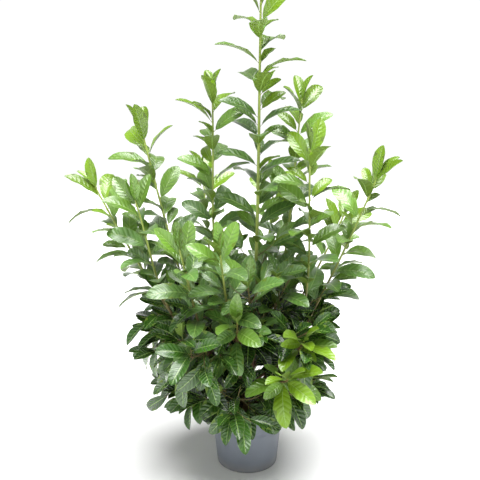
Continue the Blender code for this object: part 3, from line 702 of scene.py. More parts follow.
def grow_shoots(growth):
    """Each shoot by the swing at which most of its leaves are in the CAD node."""
    for key, (carrier, share, tip, count, first, hand, size, seed) in SHOOTS.items():
        name = f"shoot_{key}"
        foot, ahead = growth.foot_on(carrier, share, growth.lines[carrier][1][1])
        tip = np.array(tip)
        line = unit(tip - foot)
        arrive = unit(line + (0.0, 0.0, SHOOT_RISE))
        leave = ahead if share >= 1.0 else unit(line - (0.0, 0.0, SIDE_SHOOT_SINK))
        side = unit(np.cross(line, (0.0, 0.0, 1.0)))
        best = (-1, None, None)
        for swing in SHOOT_SWINGS:
            curve = (foot, tip, unit(leave + swing * side), arrive, CHAIN_POINTS["shoot"])
            points = route(*curve)
            droop = SHOOT_DROOP + LEAN_DROOP * (1.0 - unit(points[-1] - points[0])[2])
            draws = np.random.default_rng(seed)
            plans = leaf_plan(points, count, first, hand, size, droop, SHOOT_LIGHT, draws)
            found = growth.matched(name, plans)
            if len(found) > best[0]:
                best = (len(found), curve, found)
        growth.add_line(name, best[1], LEADER_RADII if key == "leader" else SHOOT_RADII)
        for leaf in best[2]:
            growth.leaves.append({**leaf, "mass": name, "kind": "shoot"})


def grow_ring_masses(growth):
    """Each lower mass by the lift and turn at which its stem's end section is in the CAD node."""
    for name, ring, azimuth, far, high, share in ring_rows():
        leave, end, count, twigs, droop = RINGS[ring][4:]
        if ring == "middle":
            carrier = f"bough_{nearest_bough(azimuth)}"
            along = MIDDLE_ALONG[0] + share * (MIDDLE_ALONG[1] - MIDDLE_ALONG[0])
        else:
            span = SHOULDER_FROM if ring == "shoulder" else SKIRT_FROM
            carrier = "trunk"
            along = trunk_share(growth, span[0] + share * (span[1] - span[0]))
        foot, _ = growth.foot_on(carrier, along, 0.0)
        number = int(name.split("_")[1])
        hand = 1 if number % 2 else -1
        best = (-1, None, None, None)
        for lift in ROUTE_LIFTS:
            for more in ROUTE_TURNS:
                tip = far * heading(azimuth + more, 0) + RING_MIDDLE + (0.0, 0.0, high + lift)
                if not growth.has(name, tip, MASS_TIP_RADIUS):
                    continue
                way = azimuth_of(tip - foot)
                curve = (foot, tip, heading(way, leave), heading(way, end), CHAIN_POINTS["ring"])
                draws = np.random.default_rng(sum(map(ord, ring)) + MASS_SEED * number)
                plans = leaf_plan(
                    route(*curve), count, RING_FIRST_LEAF * number, hand, RING_LEAF, droop, RING_LIGHT, draws
                )
                found = growth.matched(name, plans)
                if len(found) > best[0]:
                    best = (len(found), curve, found, draws)
        found, draws = list(best[2]), best[3]
        growth.add_line(name, best[1], (MASS_FOOT_RADIUS, MASS_TIP_RADIUS))
        points = growth.chains[name]
        for index, curve in enumerate(twig_plans(points, twigs, number, draws)):
            if not growth.has(name, curve[1], MASS_TIP_RADIUS):
                continue
            twig = f"{name}_twig_{index}"
            growth.add_line(twig, curve, (TWIG_FOOT_RADIUS, MASS_TIP_RADIUS))
            size = TWIG_LEAF_SHARE * RING_LEAF
            first = TWIG_FIRST_LEAF * index
            plans = leaf_plan(
                growth.chains[twig], TWIG_LEAVES, first, -hand, size, droop, RING_LIGHT, draws
            )
            found += growth.matched(name, plans)
        for leaf in found:
            growth.leaves.append({**leaf, "mass": name, "kind": ring})


def grow_again():
    """The whole plant of the source, from its trunk out."""
    growth = Growth()
    grow_trunk(growth)
    grow_boughs(growth)
    grow_shoots(growth)
    grow_ring_masses(growth)
    return growth


def resampled(curve, radii, count):
    """A finer run of a limb's cubic, with radii that fall evenly from foot to tip."""
    foot, tip, leave, arrive, _ = curve
    return route(foot, tip, leave, arrive, count), np.linspace(radii[0], radii[1], count)


def frames_along(points):
    """Unit vectors ahead, aside and over at each point, from its neighbours and a fixed slanting vector."""
    ahead = unit_rows(np.gradient(points, axis=0))
    side = unit_rows(np.cross(ahead, SLANT))
    return ahead, side, np.cross(ahead, side)


def closed(rings, around, inside_out=False):
    """Quads between neighbouring rings of corners, and a fan of triangles over the first and the last ring.

    The corners run ring by ring. After them come the middle of the first ring and that of the last.
    """
    ring = np.arange(rings - 1)[:, None] * around
    here = np.arange(around)
    after = (here + 1) % around
    quads = np.stack((ring + here, ring + after, ring + around + after, ring + around + here), axis=-1)
    quads = quads.reshape(-1, 4)
    hub = rings * around
    last = hub - around
    lids = [(hub, b, a) for a, b in zip(here, after)]
    lids = np.array(lids + [(hub + 1, last + a, last + b) for a, b in zip(here, after)])
    if inside_out:
        return np.roll(quads[:, ::-1], 1, axis=1), lids[:, (0, 2, 1)]
    return quads, lids


def tube(points, radii, sides, relief=None):
    """A closed tube: centre + radius times (side times cosine + over times sine), one ring a point.

    The relief is a factor on the radius for each point and each side. Both ends close on a middle point.
    """
    _, side, over = frames_along(points)
    turns = np.linspace(0.0, 2 * np.pi, sides, endpoint=False)
    spread = np.outer(radii, np.ones(sides)) if relief is None else radii[:, None] * relief
    cosines, sines = (part[None, :, None] for part in (np.cos(turns), np.sin(turns)))
    around = cosines * side[:, None, :] + sines * over[:, None, :]
    rings = (points[:, None, :] + spread[:, :, None] * around).reshape(-1, 3)
    return np.vstack((rings, points[:1], points[-1:])), *closed(len(points), sides)


def mesh_object(name, shapes, looks, attributes=None, uvs=None, slots=None):
    """One smooth mesh from several shapes, each its corners and its quads and triangles, as one piece."""
    corners = np.concatenate([shape[0] for shape in shapes])
    starts = np.cumsum([0] + [len(shape[0]) for shape in shapes[:-1]])
    quads = np.concatenate([shape[1] + start for shape, start in zip(shapes, starts)])
    lids = np.concatenate([shape[2] + start for shape, start in zip(shapes, starts)])
    loops = np.concatenate((quads.ravel(), lids.ravel())).astype(np.int32)
    sizes = np.concatenate((np.full(len(quads), 4), np.full(len(lids), 3))).astype(np.int32)
    mesh = bpy.data.meshes.new(name)
    mesh.vertices.add(len(corners))
    mesh.vertices.foreach_set("co", corners.astype(np.float32).ravel())
    mesh.loops.add(len(loops))
    mesh.loops.foreach_set("vertex_index", loops)
    mesh.polygons.add(len(sizes))
    mesh.polygons.foreach_set("loop_start", np.concatenate(([0], np.cumsum(sizes)[:-1])).astype(np.int32))
    mesh.polygons.foreach_set("loop_total", sizes)
    mesh.polygons.foreach_set("use_smooth", np.ones(len(sizes), bool))
    if slots is not None:
        mesh.polygons.foreach_set("material_index", slots.astype(np.int32))
    mesh.update(calc_edges=True)
    mesh.set_sharp_from_angle(angle=math.radians(SHARP_FROM))
    if uvs is not None:
        layer = mesh.uv_layers.new(name="blade")
        layer.data.foreach_set("uv", uvs[loops].astype(np.float32).ravel())
    for key, values in (attributes or {}).items():
        mesh.attributes.new(key, "FLOAT", "POINT").data.foreach_set("value", values.astype(np.float32))
    for look in looks:
        mesh.materials.append(look)
    made = bpy.data.objects.new(name, mesh)
    bpy.context.scene.collection.objects.link(made)
    return made


def leaf_shapes(leaves, wave_seed):
    """All leaves of a piece at once, each a closed thin blade on a stalk.

    Along the blade the midrib is an arc: start + (sin(c s) ahead - (1 - cos(c s)) up) / c, where c is the
    arch over the length. Across it the surface is the midrib + h over + t w cos(fold) side, where w is the
    width times half the sine of pi s^1.12, to the power 0.6. The height h is |t| w sin(fold), less a share
    of t^4 w by which margins turn down with age, plus a gentle wave t |t| sin along the margin. The fold is
    the source's and a few degrees more. The lower face has one low line, a thickness below the midrib.
    Before the blade the same ring is the round stalk.
    """
    draws = np.random.default_rng(wave_seed)
    count = len(leaves)
    root, ahead, up = (np.array([leaf[key] for leaf in leaves]) for key in ("root", "ahead", "up"))
    length, width, arch, fold, stalk = (
        np.array([leaf[key] for leaf in leaves]) for key in ("length", "width", "arch", "fold", "petiole")
    )
    side = np.cross(ahead, up)
    share = np.array(LEAF_STATIONS)
    across = np.array(LEAF_ACROSS)
    curl = (arch / length)[:, None]
    turn = curl * length[:, None] * share[None, :]
    start = root + stalk[:, None] * ahead
    middle = start[:, None] + (
        np.sin(turn)[..., None] * ahead[:, None] - (1 - np.cos(turn))[..., None] * up[:, None]
    ) / curl[..., None]
    over = np.cos(turn)[..., None] * up[:, None] + np.sin(turn)[..., None] * ahead[:, None]
    outline = 0.5 * np.sin(np.pi * share**WIDEST) ** BLADE_FULLNESS
    wide = np.maximum(width[:, None] * outline[None, :], NARROWEST)
    phase = draws.uniform(0, 2 * np.pi, count)[:, None]
    waves = draws.uniform(*MARGIN_WAVES, count)[:, None]
    swing = MARGIN_WAVE * np.minimum(width / FULL_WIDTH, 1.0)[:, None]
    lift = swing * np.sin(2 * np.pi * waves * share[None, :] + phase) * np.sin(np.pi * share)[None, :]
    aged = np.clip(MARGIN_AGE - fold / math.radians(FOLD_YOUNG), 0.0, 1.0)[:, None]
    turned_down = MARGIN_DOWN * aged * wide
    fold = fold + math.radians(FOLD_MORE)
    height = np.abs(across) * (wide * np.sin(fold)[:, None])[..., None]
    height = height + across * np.abs(across) * lift[..., None] - across**4 * turned_down[..., None]
    aside = across * (wide * np.cos(fold)[:, None])[..., None]
    top = middle[:, :, None] + height[..., None] * over[:, :, None] + aside[..., None] * side[:, None, None]
    low = top[:, :, 2:3] - BLADE_THICK * over[:, :, None]
    rings = np.concatenate((top, low), axis=2)
    turns = np.radians(STALK_TURNS)
    round_ring = (
        np.cos(turns)[None, :, None] * side[:, None] + np.sin(turns)[None, :, None] * up[:, None]
    ) * STALK_RADIUS
    rings = np.concatenate((root[:, None, None] + round_ring[:, None], rings), axis=1)
    stations = rings.shape[1]
    around = rings.shape[2]
    per_leaf = stations * around
    quads, _ = closed(stations, around)
    last = (stations - 1) * around
    lids = [(0, k + 1, k) for k in range(1, around - 1)]
    lids += [(last, last + k, last + k + 1) for k in range(1, around - 1)]
    starts = (np.arange(count) * per_leaf)[:, None, None]
    along = np.concatenate(((STALK_START,), share))
    cross = np.concatenate((across, (0.0,)))
    uvs = np.stack(np.broadcast_arrays(along[:, None], 0.5 + 0.5 * cross[None, :]), axis=-1)
    under = np.tile(FACE_SLOTS, stations - 1)
    under[:around] = STALK_SLOT
    slots = np.concatenate((np.tile(under, count), np.zeros(count * len(lids))))
    shape = (
        rings.reshape(-1, 3),
        (quads[None] + starts).reshape(-1, 4),
        (np.array(lids)[None] + starts).reshape(-1, 3),
    )
    shades = np.repeat(draws.uniform(0.0, 1.0, count), per_leaf)
    return shape, np.tile(uvs.reshape(-1, 2), (count, 1)), slots, shades


class Space:
    """What is already in place, so that a finer twig or leaf keeps clear of it, as in the source."""

    def __init__(self):
        self.lows = []
        self.highs = []
        self.trees = []

    def add(self, points, faces):
        """Keeps a shape's box and its tree of faces."""
        self.lows.append(points.min(axis=0))
        self.highs.append(points.max(axis=0))
        self.trees.append(BVHTree.FromPolygons([Vector(p) for p in points], faces))

    def free(self, points, faces):
        """Whether a shape crosses nothing whose box meets its own."""
        low = points.min(axis=0)
        high = points.max(axis=0)
        near = np.all((np.array(self.lows) <= high) & (np.array(self.highs) >= low), axis=1)
        tree = BVHTree.FromPolygons([Vector(p) for p in points], faces)
        return not any(self.trees[i].overlap(tree) for i in np.flatnonzero(near))


def faces_of(shape):
    """A tube's quads and triangles as plain tuples."""
    return [tuple(map(int, row)) for row in shape[1]] + [tuple(map(int, row)) for row in shape[2]]


def kind_of(name):
    """The row of FINE that a limb's name belongs to."""
    return next(kind for kind in FINE if name.startswith(kind))


def crown_tree(growth):
    """A search tree over the masses' corners and points on all limbs, whose reach the finer growth keeps."""
    masses = [vertices_of(name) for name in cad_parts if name.startswith(("shoot", *RINGS))]
    limbs = [resampled(curve, radii, CROWN_POINTS)[0] for curve, radii in growth.lines.values()]
    return tree_of(np.concatenate(masses + limbs))


def crown_holds(crown, points):
    """Whether each point lies close to a corner of a mass or a point on a limb."""
    return all(crown.find(point)[2] < CROWN_NEAR for point in points)


def chain_to(chain, distance):
    """The part of a chain of straight stretches from its foot to a distance along it."""
    along = lengths_along(chain)
    place, _ = place_on(chain, distance)
    return np.vstack((chain[along < distance - SHORTEST_STEP], place))


def first_free(plan, turns, crown, space):
    """A leaf at the first turn at which it stays in the crown and clear of all in place, or None."""
    for more_turn in turns:
        leaf = leaf_at(plan, more_turn)
        fat = leaf_points(leaf, FINE_CLEAR)
        if crown_holds(crown, fat) and space.free(fat, LEAF_FACES):
            space.add(leaf_points(leaf), LEAF_FACES)
            return leaf
    return None


def grow_twigs(growth, space, crown):
    """Side twigs with leaves of their own in the room that the source's leaves leave, within the crown."""
    leaves = []
    lines = []
    carriers = [name for name in growth.lines if "_twig_" not in name]
    for number, name in enumerate(carriers):
        kind = kind_of(name)
        (low, high), twigs, count, size, length, droop = FINE[kind]
        chain = growth.chains[name]
        total = lengths_along(chain)[-1]
        draws = np.random.default_rng(FINE_SEED + number)
        for index in range(twigs):
            noise = draws.uniform(-1.0, 1.0, 5)
            share = low + (high - low) * (index + 0.5 + FINE_PLACE_WOBBLE * noise[0]) / twigs
            foot, ahead = place_on(chain, share * total)
            across = unit(np.cross(ahead, SLANT))
            turn = math.radians(FINE_TURN * index + CARRIER_TURN * number)
            out = math.cos(turn) * across + math.sin(turn) * np.cross(ahead, across)
            leave = unit(math.cos(FINE_LEAN) * ahead + math.sin(FINE_LEAN) * out)
            arrive = unit(leave + (0.0, 0.0, FINE_RISE + FINE_RISE_WOBBLE * noise[1]))
            far = length * (1 + FINE_LENGTH_WOBBLE * noise[2])
            curve = (foot, foot + far * unit(leave + arrive), leave, arrive, CHAIN_POINTS["fine"])
            points = route(*curve)
            plans = leaf_plan(
                points, count, 360 * noise[3], 1 if index % 2 else -1,
                size * (1 + FINE_SIZE_WOBBLE * noise[4]), droop, FINE_LIGHT, draws, FINE_LEAF_STEP,
            )
            guard = tube(points[1:], np.full(len(points) - 1, FINE_GUARD_RADIUS), FINE_GUARD_SIDES)
            if not space.free(guard[0], faces_of(guard)):
                continue
            aged = [{**plan, "age": plan["age"] + 1} for plan in plans]
            kept = [first_free(plan, OTHER_TURNS, crown, space) for plan in aged]
            kept = [{**leaf, "mass": name, "kind": "fine"} for leaf in kept if leaf]
            if kept:
                space.add(guard[0], faces_of(guard))
                leaves += kept
                lines.append((curve, FINE_RADII))
    return leaves, lines


def shoot_names(growth):
    """The names of all shoots, in the order in which they grew."""
    return [name for name in growth.lines if name.startswith("shoot")]


def grow_stem_leaves(growth, space, crown):
    """More leaves straight on the shoots' stems, wherever one finds room as it turns."""
    found = []
    for number, name in enumerate(shoot_names(growth)):
        chain = growth.chains[name]
        total = lengths_along(chain)[-1]
        for index, share in enumerate(np.arange(*STEM_LEAF_SHARES, STEM_LEAF_STEP / total)):
            draws = np.random.default_rng(STEM_LEAF_SEED + STEM_LEAF_SEED_STEP * number + index)
            plans = leaf_plan(
                chain_to(chain, share * total), 1, draws.uniform(0, 360), 1, draws.uniform(*STEM_LEAF_SIZES),
                STEM_LEAF_DROOP, STEM_LEAF_LIGHT, draws,
            )
            for plan in plans:
                plan["age"] = int((1 - share) * STEM_LEAF_AGE)
                plan["spread"] = STEM_LEAF_SPREAD
                plan["arch"] = math.radians(ARCH_FULL * STEM_LEAF_ARCH)
                plan["fold"] = math.radians(STEM_LEAF_FOLD)
                leaf = first_free(plan, range(0, 360, STEM_LEAF_TURN), crown, space)
                if leaf:
                    found.append({**leaf, "mass": name, "kind": "shoot"})
    return found


def grow_ends(growth, space):
    """Narrow leaves that still stand folded together round each shoot's end bud."""
    found = []
    for number, name in enumerate(shoot_names(growth)):
        draws = np.random.default_rng(END_SEED + number)
        for index in range(END_LEAVES):
            turn = 360 * index / END_LEAVES
            plan = leaf_plan(growth.chains[name], 1, turn, 1, END_LEAF, 0.0, END_LIGHT, draws)[0]
            plan["spread"] = END_SPREAD + END_SPREAD_STEP * index
            plan["arch"] = math.radians(END_ARCH)
            plan["fold"] = math.radians(END_FOLD)
            for more_turn in range(0, 360, END_TURN):
                leaf = leaf_at(plan, more_turn)
                leaf["width"] *= END_WIDTH_SHARE
                if space.free(leaf_points(leaf)[1:] + END_SLIP * leaf["ahead"], END_FACES):
                    found.append({**leaf, "mass": name, "kind": "shoot", "folded": True})
                    space.add(leaf_points(leaf), LEAF_FACES)
                    break
    return found


def tint_of(leaf):
    """The tint of a leaf: by age on the shoots, and by height and depth in the lower mass, where the
    near-black shade tint of the inner leaves is painted shade.
    """
    age, kind = leaf["age"], leaf["kind"]
    tip = leaf_points(leaf)[-1]
    out = np.linalg.norm((tip - CROWN_MIDDLE) / CROWN_REACH)
    if leaf["mass"] in GREY_SHOOTS and kind == "shoot":
        return "fresh" if age < GREY_FRESH_AGE else "green"
    if kind == "shoot":
        return "lime" if age < LIME_AGE else "fresh" if age < FRESH_AGE else "green"
    if kind == "shoulder":
        return "fresh" if age < SHOULDER_AGE else "green"
    if kind == "fine" and tip[2] > UPPER_CROWN:
        return "fresh" if age < FINE_AGE else "green"
    if kind == "fine":
        # Inner leaves of the lower mass get the near-black shade tint: painted shade where the mass shades
        # them.
        return "shade" if out < FINE_SHADE_WITHIN else "deep"
    if kind == "skirt":
        return "deep" if out > SKIRT_SHADE_WITHIN else "shade"
    return "green" if out > OUTSIDE and age < OUTER_AGE else "deep"


def shaded(colour, factor):
    """A colour times a factor, at most 1 in each part."""
    return tuple(min(1.0, factor * part) for part in colour)


class Nodes:
    """Short ways to add nodes to a material or a world. Inputs are sockets, numbers or colours."""

    def __init__(self, owner):
        owner.use_nodes = True
        self.tree = owner.node_tree

    def put(self, socket, value):
        """Links an input to another socket, or sets it to a number or a colour."""
        if isinstance(value, bpy.types.NodeSocket):
            self.tree.links.new(value, socket)
        else:
            socket.default_value = (*value, 1.0) if socket.type == "RGBA" else value

    def add(self, kind, inputs, output=0, **settings):
        """One output of a new node with its settings and inputs."""
        made = self.tree.nodes.new(f"ShaderNode{kind}")
        for key, value in settings.items():
            setattr(made, key, value)
        for key, value in inputs.items():
            self.put(made.inputs[key], value)
        return made.outputs[output]

    def math(self, operation, *values):
        """One calculation on one to three values."""
        return self.add("Math", dict(enumerate(values)), operation=operation)

    def mix(self, share, first, second):
        """Two colours mixed by a share of the second."""
        return self.add("Mix", {0: share, 6: first, 7: second}, 2, data_type="RGBA")

    def where(self, output="Object"):
        """The coordinates that the patterns sit on."""
        return self.add("TexCoord", {}, output)

    def stretched(self, where, stretch):
        """Coordinates scaled along each axis."""
        return self.add("Mapping", {"Vector": where, "Scale": stretch})

    def noise(self, where, scale, detail=3.0, rough=0.5):
        """Noise on some coordinates."""
        return self.add(
            "TexNoise", {"Vector": where, "Scale": scale, "Detail": detail, "Roughness": rough}, "Fac"
        )

    def parts(self, vector):
        """The three parts of a vector."""
        return self.add("SeparateXYZ", {0: vector}).node.outputs

    def spread(self, value, *ends):
        """A value taken from one range to another, by default to the one from 0 to 1."""
        keys = ("From Min", "From Max", "To Min", "To Max")
        return self.add("MapRange", {"Value": value, **dict(zip(keys, ends))})


class Look(Nodes):
    """A material whose shader takes its colour, roughness and bumps from nodes or numbers."""

    def __init__(self, name):
        self.material = bpy.data.materials.new(name)
        super().__init__(self.material)

    def finish(self, colour, rough, height, depth, **inputs):
        """Sets the shader, with bumps of a depth by a height, and returns the material."""
        bump = self.add("Bump", {"Height": height, "Distance": depth})
        inputs = {"Base Color": colour, "Roughness": rough, "Normal": bump, **inputs}
        for key, value in inputs.items():
            self.put(self.tree.nodes["Principled BSDF"].inputs[key.replace("_", " ")], value)
        return self.material


def leaf_look(name, colour, vein, rough, depth, side_veins, coat, coat_rough):
    """Glossy leaf on its own UV map: a pale midrib and margin, side veins at a slant, quilting between."""
    look = Look(name)
    where = look.where()
    along, across, _ = look.parts(look.add("UVMap", {}, uv_map="blade"))
    aside = look.math("ABSOLUTE", look.math("SUBTRACT", across, 0.5))
    slant = look.math("SUBTRACT", along, look.math("MULTIPLY", aside, VEIN_SLANT))
    wander = look.math("MULTIPLY", look.noise(where, WANDER_SCALE, 0.0), VEIN_WANDER)
    wave = look.math("MULTIPLY", look.math("ADD", slant, wander), 2 * math.pi * VEINS)
    quilt = look.math("MULTIPLY", look.math("SUBTRACT", 1.0, look.math("COSINE", wave)), 0.5)
    midrib = look.math("LESS_THAN", aside, MIDRIB_HALF)
    margin = look.math("GREATER_THAN", aside, MARGIN_FROM)
    laterals = look.math("POWER", look.math("SUBTRACT", 1.0, quilt), VEIN_SHARPNESS)
    drawn = look.math("MULTIPLY", laterals, side_veins)
    drawn = look.math("MAXIMUM", drawn, look.math("MULTIPLY", midrib, MIDRIB_SHOWS))
    drawn = look.math("MAXIMUM", drawn, look.math("MULTIPLY", margin, MARGIN_SHOWS))
    shade = look.add("Attribute", {}, "Fac", attribute_name="shade")
    base = look.mix(shade, shaded(colour, LEAF_DARK), shaded(colour, LEAF_LIGHT))
    base = look.mix(look.math("MULTIPLY", look.noise(where, PATCH_SCALE), PATCH_SHARE), base, colour)
    height = look.math("SUBTRACT", quilt, look.math("MULTIPLY", midrib, MIDRIB_SUNK))
    return look.finish(
        look.mix(drawn, base, vein), rough, height, depth,
        IOR=LEAF_IOR, Coat_Weight=coat, Coat_IOR=COAT_IOR, Coat_Roughness=coat_rough,
    )


def plain_look(name, colour, other, stretch=(1.0, 1.0, 1.0)):
    """Two colours mixed by noise on Object coordinates, stretched along an axis, with its noise as bump."""
    look = Look(name)
    scale, rough, depth = PLAIN_LOOKS[name]
    grain = look.noise(look.stretched(look.where(), stretch), scale, *PLAIN_GRAIN)
    return look.finish(look.mix(grain, colour, other), rough, grain, depth)


def stem_look(name, young, old):
    """Green young stem that turns to brown bark lower down, by height with a little noise."""
    look = Look(name)
    where = look.where()
    sway = look.math("MULTIPLY", look.noise(where, STEM_PATCH_SCALE), STEM_PATCH_SWAY)
    rise = look.spread(look.math("ADD", look.parts(where)[2], sway), BROWN_BELOW, GREEN_ABOVE)
    grain = look.noise(where, STEM_GRAIN_SCALE, *FINE_GRAIN)
    light = look.mix(grain, young, shaded(young, STEM_DARKER))
    dark = look.mix(grain, old, shaded(old, OLD_STEM_DARKER))
    return look.finish(look.mix(rise, dark, light), STEM_ROUGH, grain, STEM_BUMP)


def pot_look(name, colour, dust):
    """Satin plastic with broad patches, faint upright streaks and fine grain, and dust towards its foot."""
    look = Look(name)
    where = look.where()
    patches = look.noise(where, POT_PATCH_SCALE)
    streaks = look.noise(look.stretched(where, STREAK_STRETCH), STREAK_SCALE)
    base = look.mix(patches, *(shaded(colour, tone) for tone in POT_TONES))
    base = look.mix(look.math("MULTIPLY", streaks, STREAK_SHARE), base, colour)
    splash = look.noise(where, *SPLASH_GRAIN)
    splash = look.math("MULTIPLY", splash, look.spread(look.parts(where)[2], *SPLASH_FALL))
    rough = look.math("MULTIPLY_ADD", patches, *POT_ROUGH)
    grain = look.noise(where, POT_GRAIN_SCALE, *FINE_GRAIN)
    return look.finish(look.mix(splash, base, dust), rough, grain, POT_BUMP)


def colour_prop(name, description, default):
    """A colour that a user can change."""
    return FloatVectorProperty(
        name=name, description=description, default=default, size=3, subtype="COLOR", min=0.0, max=1.0
    )


class LaurelSizes(bpy.types.PropertyGroup):
    """Sizes that a user would change."""

    vein_depth: FloatProperty(
        name="Vein depth", description="How deep the veins lie in a leaf", default=0.0015, unit="LENGTH"
    )
    bark_relief: FloatProperty(
        name="Bark relief", description="Share of a limb's radius that its ridges stand out", default=0.10
    )
    chips: IntProperty(name="Bark chips", description="Pieces of bark that lie on the compost", default=240)


class LaurelColours(bpy.types.PropertyGroup):
    """Colours that a user would change."""

    lime: colour_prop("Youngest leaves", "Leaves at the tips of the shoots", (0.170, 0.310, 0.010))
    # The young and grown leaves' colours are their own greens, made lighter and paler to stand in for their
    # glossy sheen: partly painted sheen.
    fresh: colour_prop("Young leaves", "Upper leaves of the shoots", (0.145, 0.300, 0.028))
    green: colour_prop("Grown leaves", "Lower leaves of the shoots", (0.100, 0.225, 0.038))
    deep: colour_prop("Old leaves", "Outer leaves of the lower mass", (0.033, 0.105, 0.008))
    # The inner leaves' near-black colour is painted shade, for the shade that falls inside the lower mass.
    shade: colour_prop("Inner leaves", "Leaves inside the lower mass", (0.010, 0.040, 0.004))
    vein: colour_prop("Veins", "Midrib and side veins", (0.330, 0.520, 0.130))
    # The underside is the leaf's paler lower face, made brighter and yellower to stand in for light shining
    # through the leaf: partly painted light.
    underside: colour_prop("Underside", "Paler lower face of a leaf", (0.115, 0.190, 0.016))
    stem: colour_prop("Green stems", "Stems of the tall shoots", (0.400, 0.510, 0.100))
    twig: colour_prop("Twigs", "Stems of the lower masses", (0.170, 0.190, 0.060))
    bud: colour_prop("Buds", "Bud scales", (0.260, 0.300, 0.070))
    bark: colour_prop("Bark", "Trunk and boughs", (0.170, 0.085, 0.040))
    pot: colour_prop("Pot", "Moulded plastic", (0.157, 0.176, 0.208))
    dust: colour_prop("Dust", "Splashes towards the pot's foot", (0.300, 0.280, 0.240))
    compost: colour_prop("Compost", "Bark compost", (0.035, 0.022, 0.014))
    chip: colour_prop("Bark chips", "Pieces of bark on the compost", (0.200, 0.095, 0.050))


class StageSettings(bpy.types.PropertyGroup):
    """Camera and light."""

    lens: FloatProperty(name="Lens", description="Focal length in millimetres", default=49.8)
    floor: FloatProperty(name="Floor", description="Width of the floor", default=14.0, unit="LENGTH")


def finished(thing, slot, *nodes):
    """Puts a piece on its body and hides the CAD nodes that it stands for. Its finish is not used."""
    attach(thing, "root")
    if nodes:
        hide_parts(*nodes)
    return thing


KEPT = {}


def plant():
    """The growth of the whole plant, worked out once."""
    if "growth" not in KEPT:
        growth = grow_again()
        space = Space()
        for leaf in growth.leaves:
            space.add(leaf_points(leaf), LEAF_FACES)
        shapes = []
        for curve, radii in growth.lines.values():
            points, sizes = resampled(curve, radii, GUARD_POINTS)
            shapes.append(tube(points[1:], sizes[1:] + FINE_CLEAR, FINE_SIDES))
        axis = np.array(((0, 0, 0), (0, 0, POT_HEIGHT)))
        shapes.append(tube(axis, np.array((POT_FOOT_RADIUS, POT_GUARD_RADIUS)), POT_GUARD_SIDES))
        for shape in shapes:
            space.add(shape[0], faces_of(shape))
        crown = crown_tree(growth)
        leaves, lines = grow_twigs(growth, space, crown)
        leaves += grow_stem_leaves(growth, space, crown)
        leaves += grow_ends(growth, space)
        KEPT.update(growth=growth, leaves=growth.leaves + leaves, fine=lines)
    return KEPT


class LAUREL_OT_leaves(bpy.types.Operator):
    """Makes every leaf, one piece for each tint"""

    bl_idname = "laurel.leaves"
    bl_label = "Leaves"

    def execute(self, context):
        colours = context.scene.laurel_colours
        sizes = context.scene.laurel_sizes
        leaves = plant()["leaves"]
        masses = sorted({leaf["mass"] for leaf in leaves if leaf["mass"] not in BARK_NODES})
        # The underside look's colour is partly painted light: light shining through the leaf.
        under = leaf_look(
            "leaf underside", colours.underside, colours.vein, UNDERSIDE_ROUGH, *UNDERSIDE_FINISH
        )
        stalk = plain_look("leaf stalk", colours.stem, colours.twig)
        for number, tint in enumerate(TINTS):
            mine = [leaf for leaf in leaves if tint_of(leaf) == tint]
            share, *finish = LEAF_FINISH[tint]
            depth = share * sizes.vein_depth
            colour = getattr(colours, tint)
            look = leaf_look(f"leaf {tint}", colour, colours.vein, LEAF_ROUGH, depth, *finish)
            shape, uvs, slots, shades = leaf_shapes(mine, LEAF_SEED + number)
            looks = [look, under, stalk]
            made = mesh_object(f"leaves_{tint}", [shape], looks, {"shade": shades}, uvs, slots)
            young = tint in ("lime", "fresh")
            finished(made, "young_foliage" if young else "foliage")
            if number == 0:
                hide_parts(*[name for name in masses if name.startswith("shoot")])
            if tint == "deep":
                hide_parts(*[name for name in masses if not name.startswith("shoot")])
        return {"FINISHED"}


BARK_NODES = ["trunk", *(f"bough_{key}" for key in BOUGHS)]


class LAUREL_OT_stems(bpy.types.Operator):
    """Makes the stems of the shoots and the twigs of the masses"""

    bl_idname = "laurel.stems"
    bl_label = "Stems"

    def execute(self, context):
        colours = context.scene.laurel_colours
        kept = plant()
        green = stem_look("green stem", colours.stem, colours.bark)
        brown = plain_look("brown twig", colours.twig, colours.bark)
        shoots = []
        twigs = []
        for name, (curve, radii) in kept["growth"].lines.items():
            if name in BARK_NODES:
                continue
            limbs, count = (shoots, STEM_POINTS) if name.startswith("shoot") else (twigs, TWIG_POINTS)
            limbs.append(tube(*resampled(curve, radii, count), STEM_SIDES))
        twigs += [tube(*resampled(curve, radii, FINE_POINTS), FINE_SIDES) for curve, radii in kept["fine"]]
        finished(mesh_object("shoot_stems", shoots, [green]), "young_foliage")
        finished(mesh_object("mass_stems", twigs, [brown]), "foliage")
        return {"FINISHED"}


def bud(place, way, size):
    """A closed spindle along a heading: its radius is the full radius times the sine of pi share^0.7."""
    length, radius = size
    share = np.linspace(0.0, 1.0, BUD_STATIONS)
    swell = np.maximum(np.sin(np.pi * share**BUD_SWELL), BUD_LEAST)
    return tube(place + length * share[:, None] * way, radius * swell, BUD_SIDES)


class LAUREL_OT_buds(bpy.types.Operator):
    """Makes the end bud of every shoot and the small buds between its leaves and its stem"""

    bl_idname = "laurel.buds"
    bl_label = "Buds"

    def execute(self, context):
        colours = context.scene.laurel_colours
        growth = plant()["growth"]
        shapes = []
        for name, points in growth.chains.items():
            if name.startswith("shoot"):
                ahead = unit(points[-1] - points[-2])
                shapes.append(bud(points[-1] - END_BUD_SUNK * ahead, ahead, END_BUD))
        for leaf in plant()["leaves"]:
            if leaf["kind"] == "shoot" and "folded" not in leaf:
                over = unit(leaf["stem"] + SIDE_BUD_LEAN * leaf["ahead"])
                shapes.append(bud(leaf["root"] + SIDE_BUD_OUT * over, over, SIDE_BUD))
        look = plain_look("bud scale", colours.bud, colours.stem)
        finished(mesh_object("buds", shapes, [look]), "young_foliage")
        return {"FINISHED"}


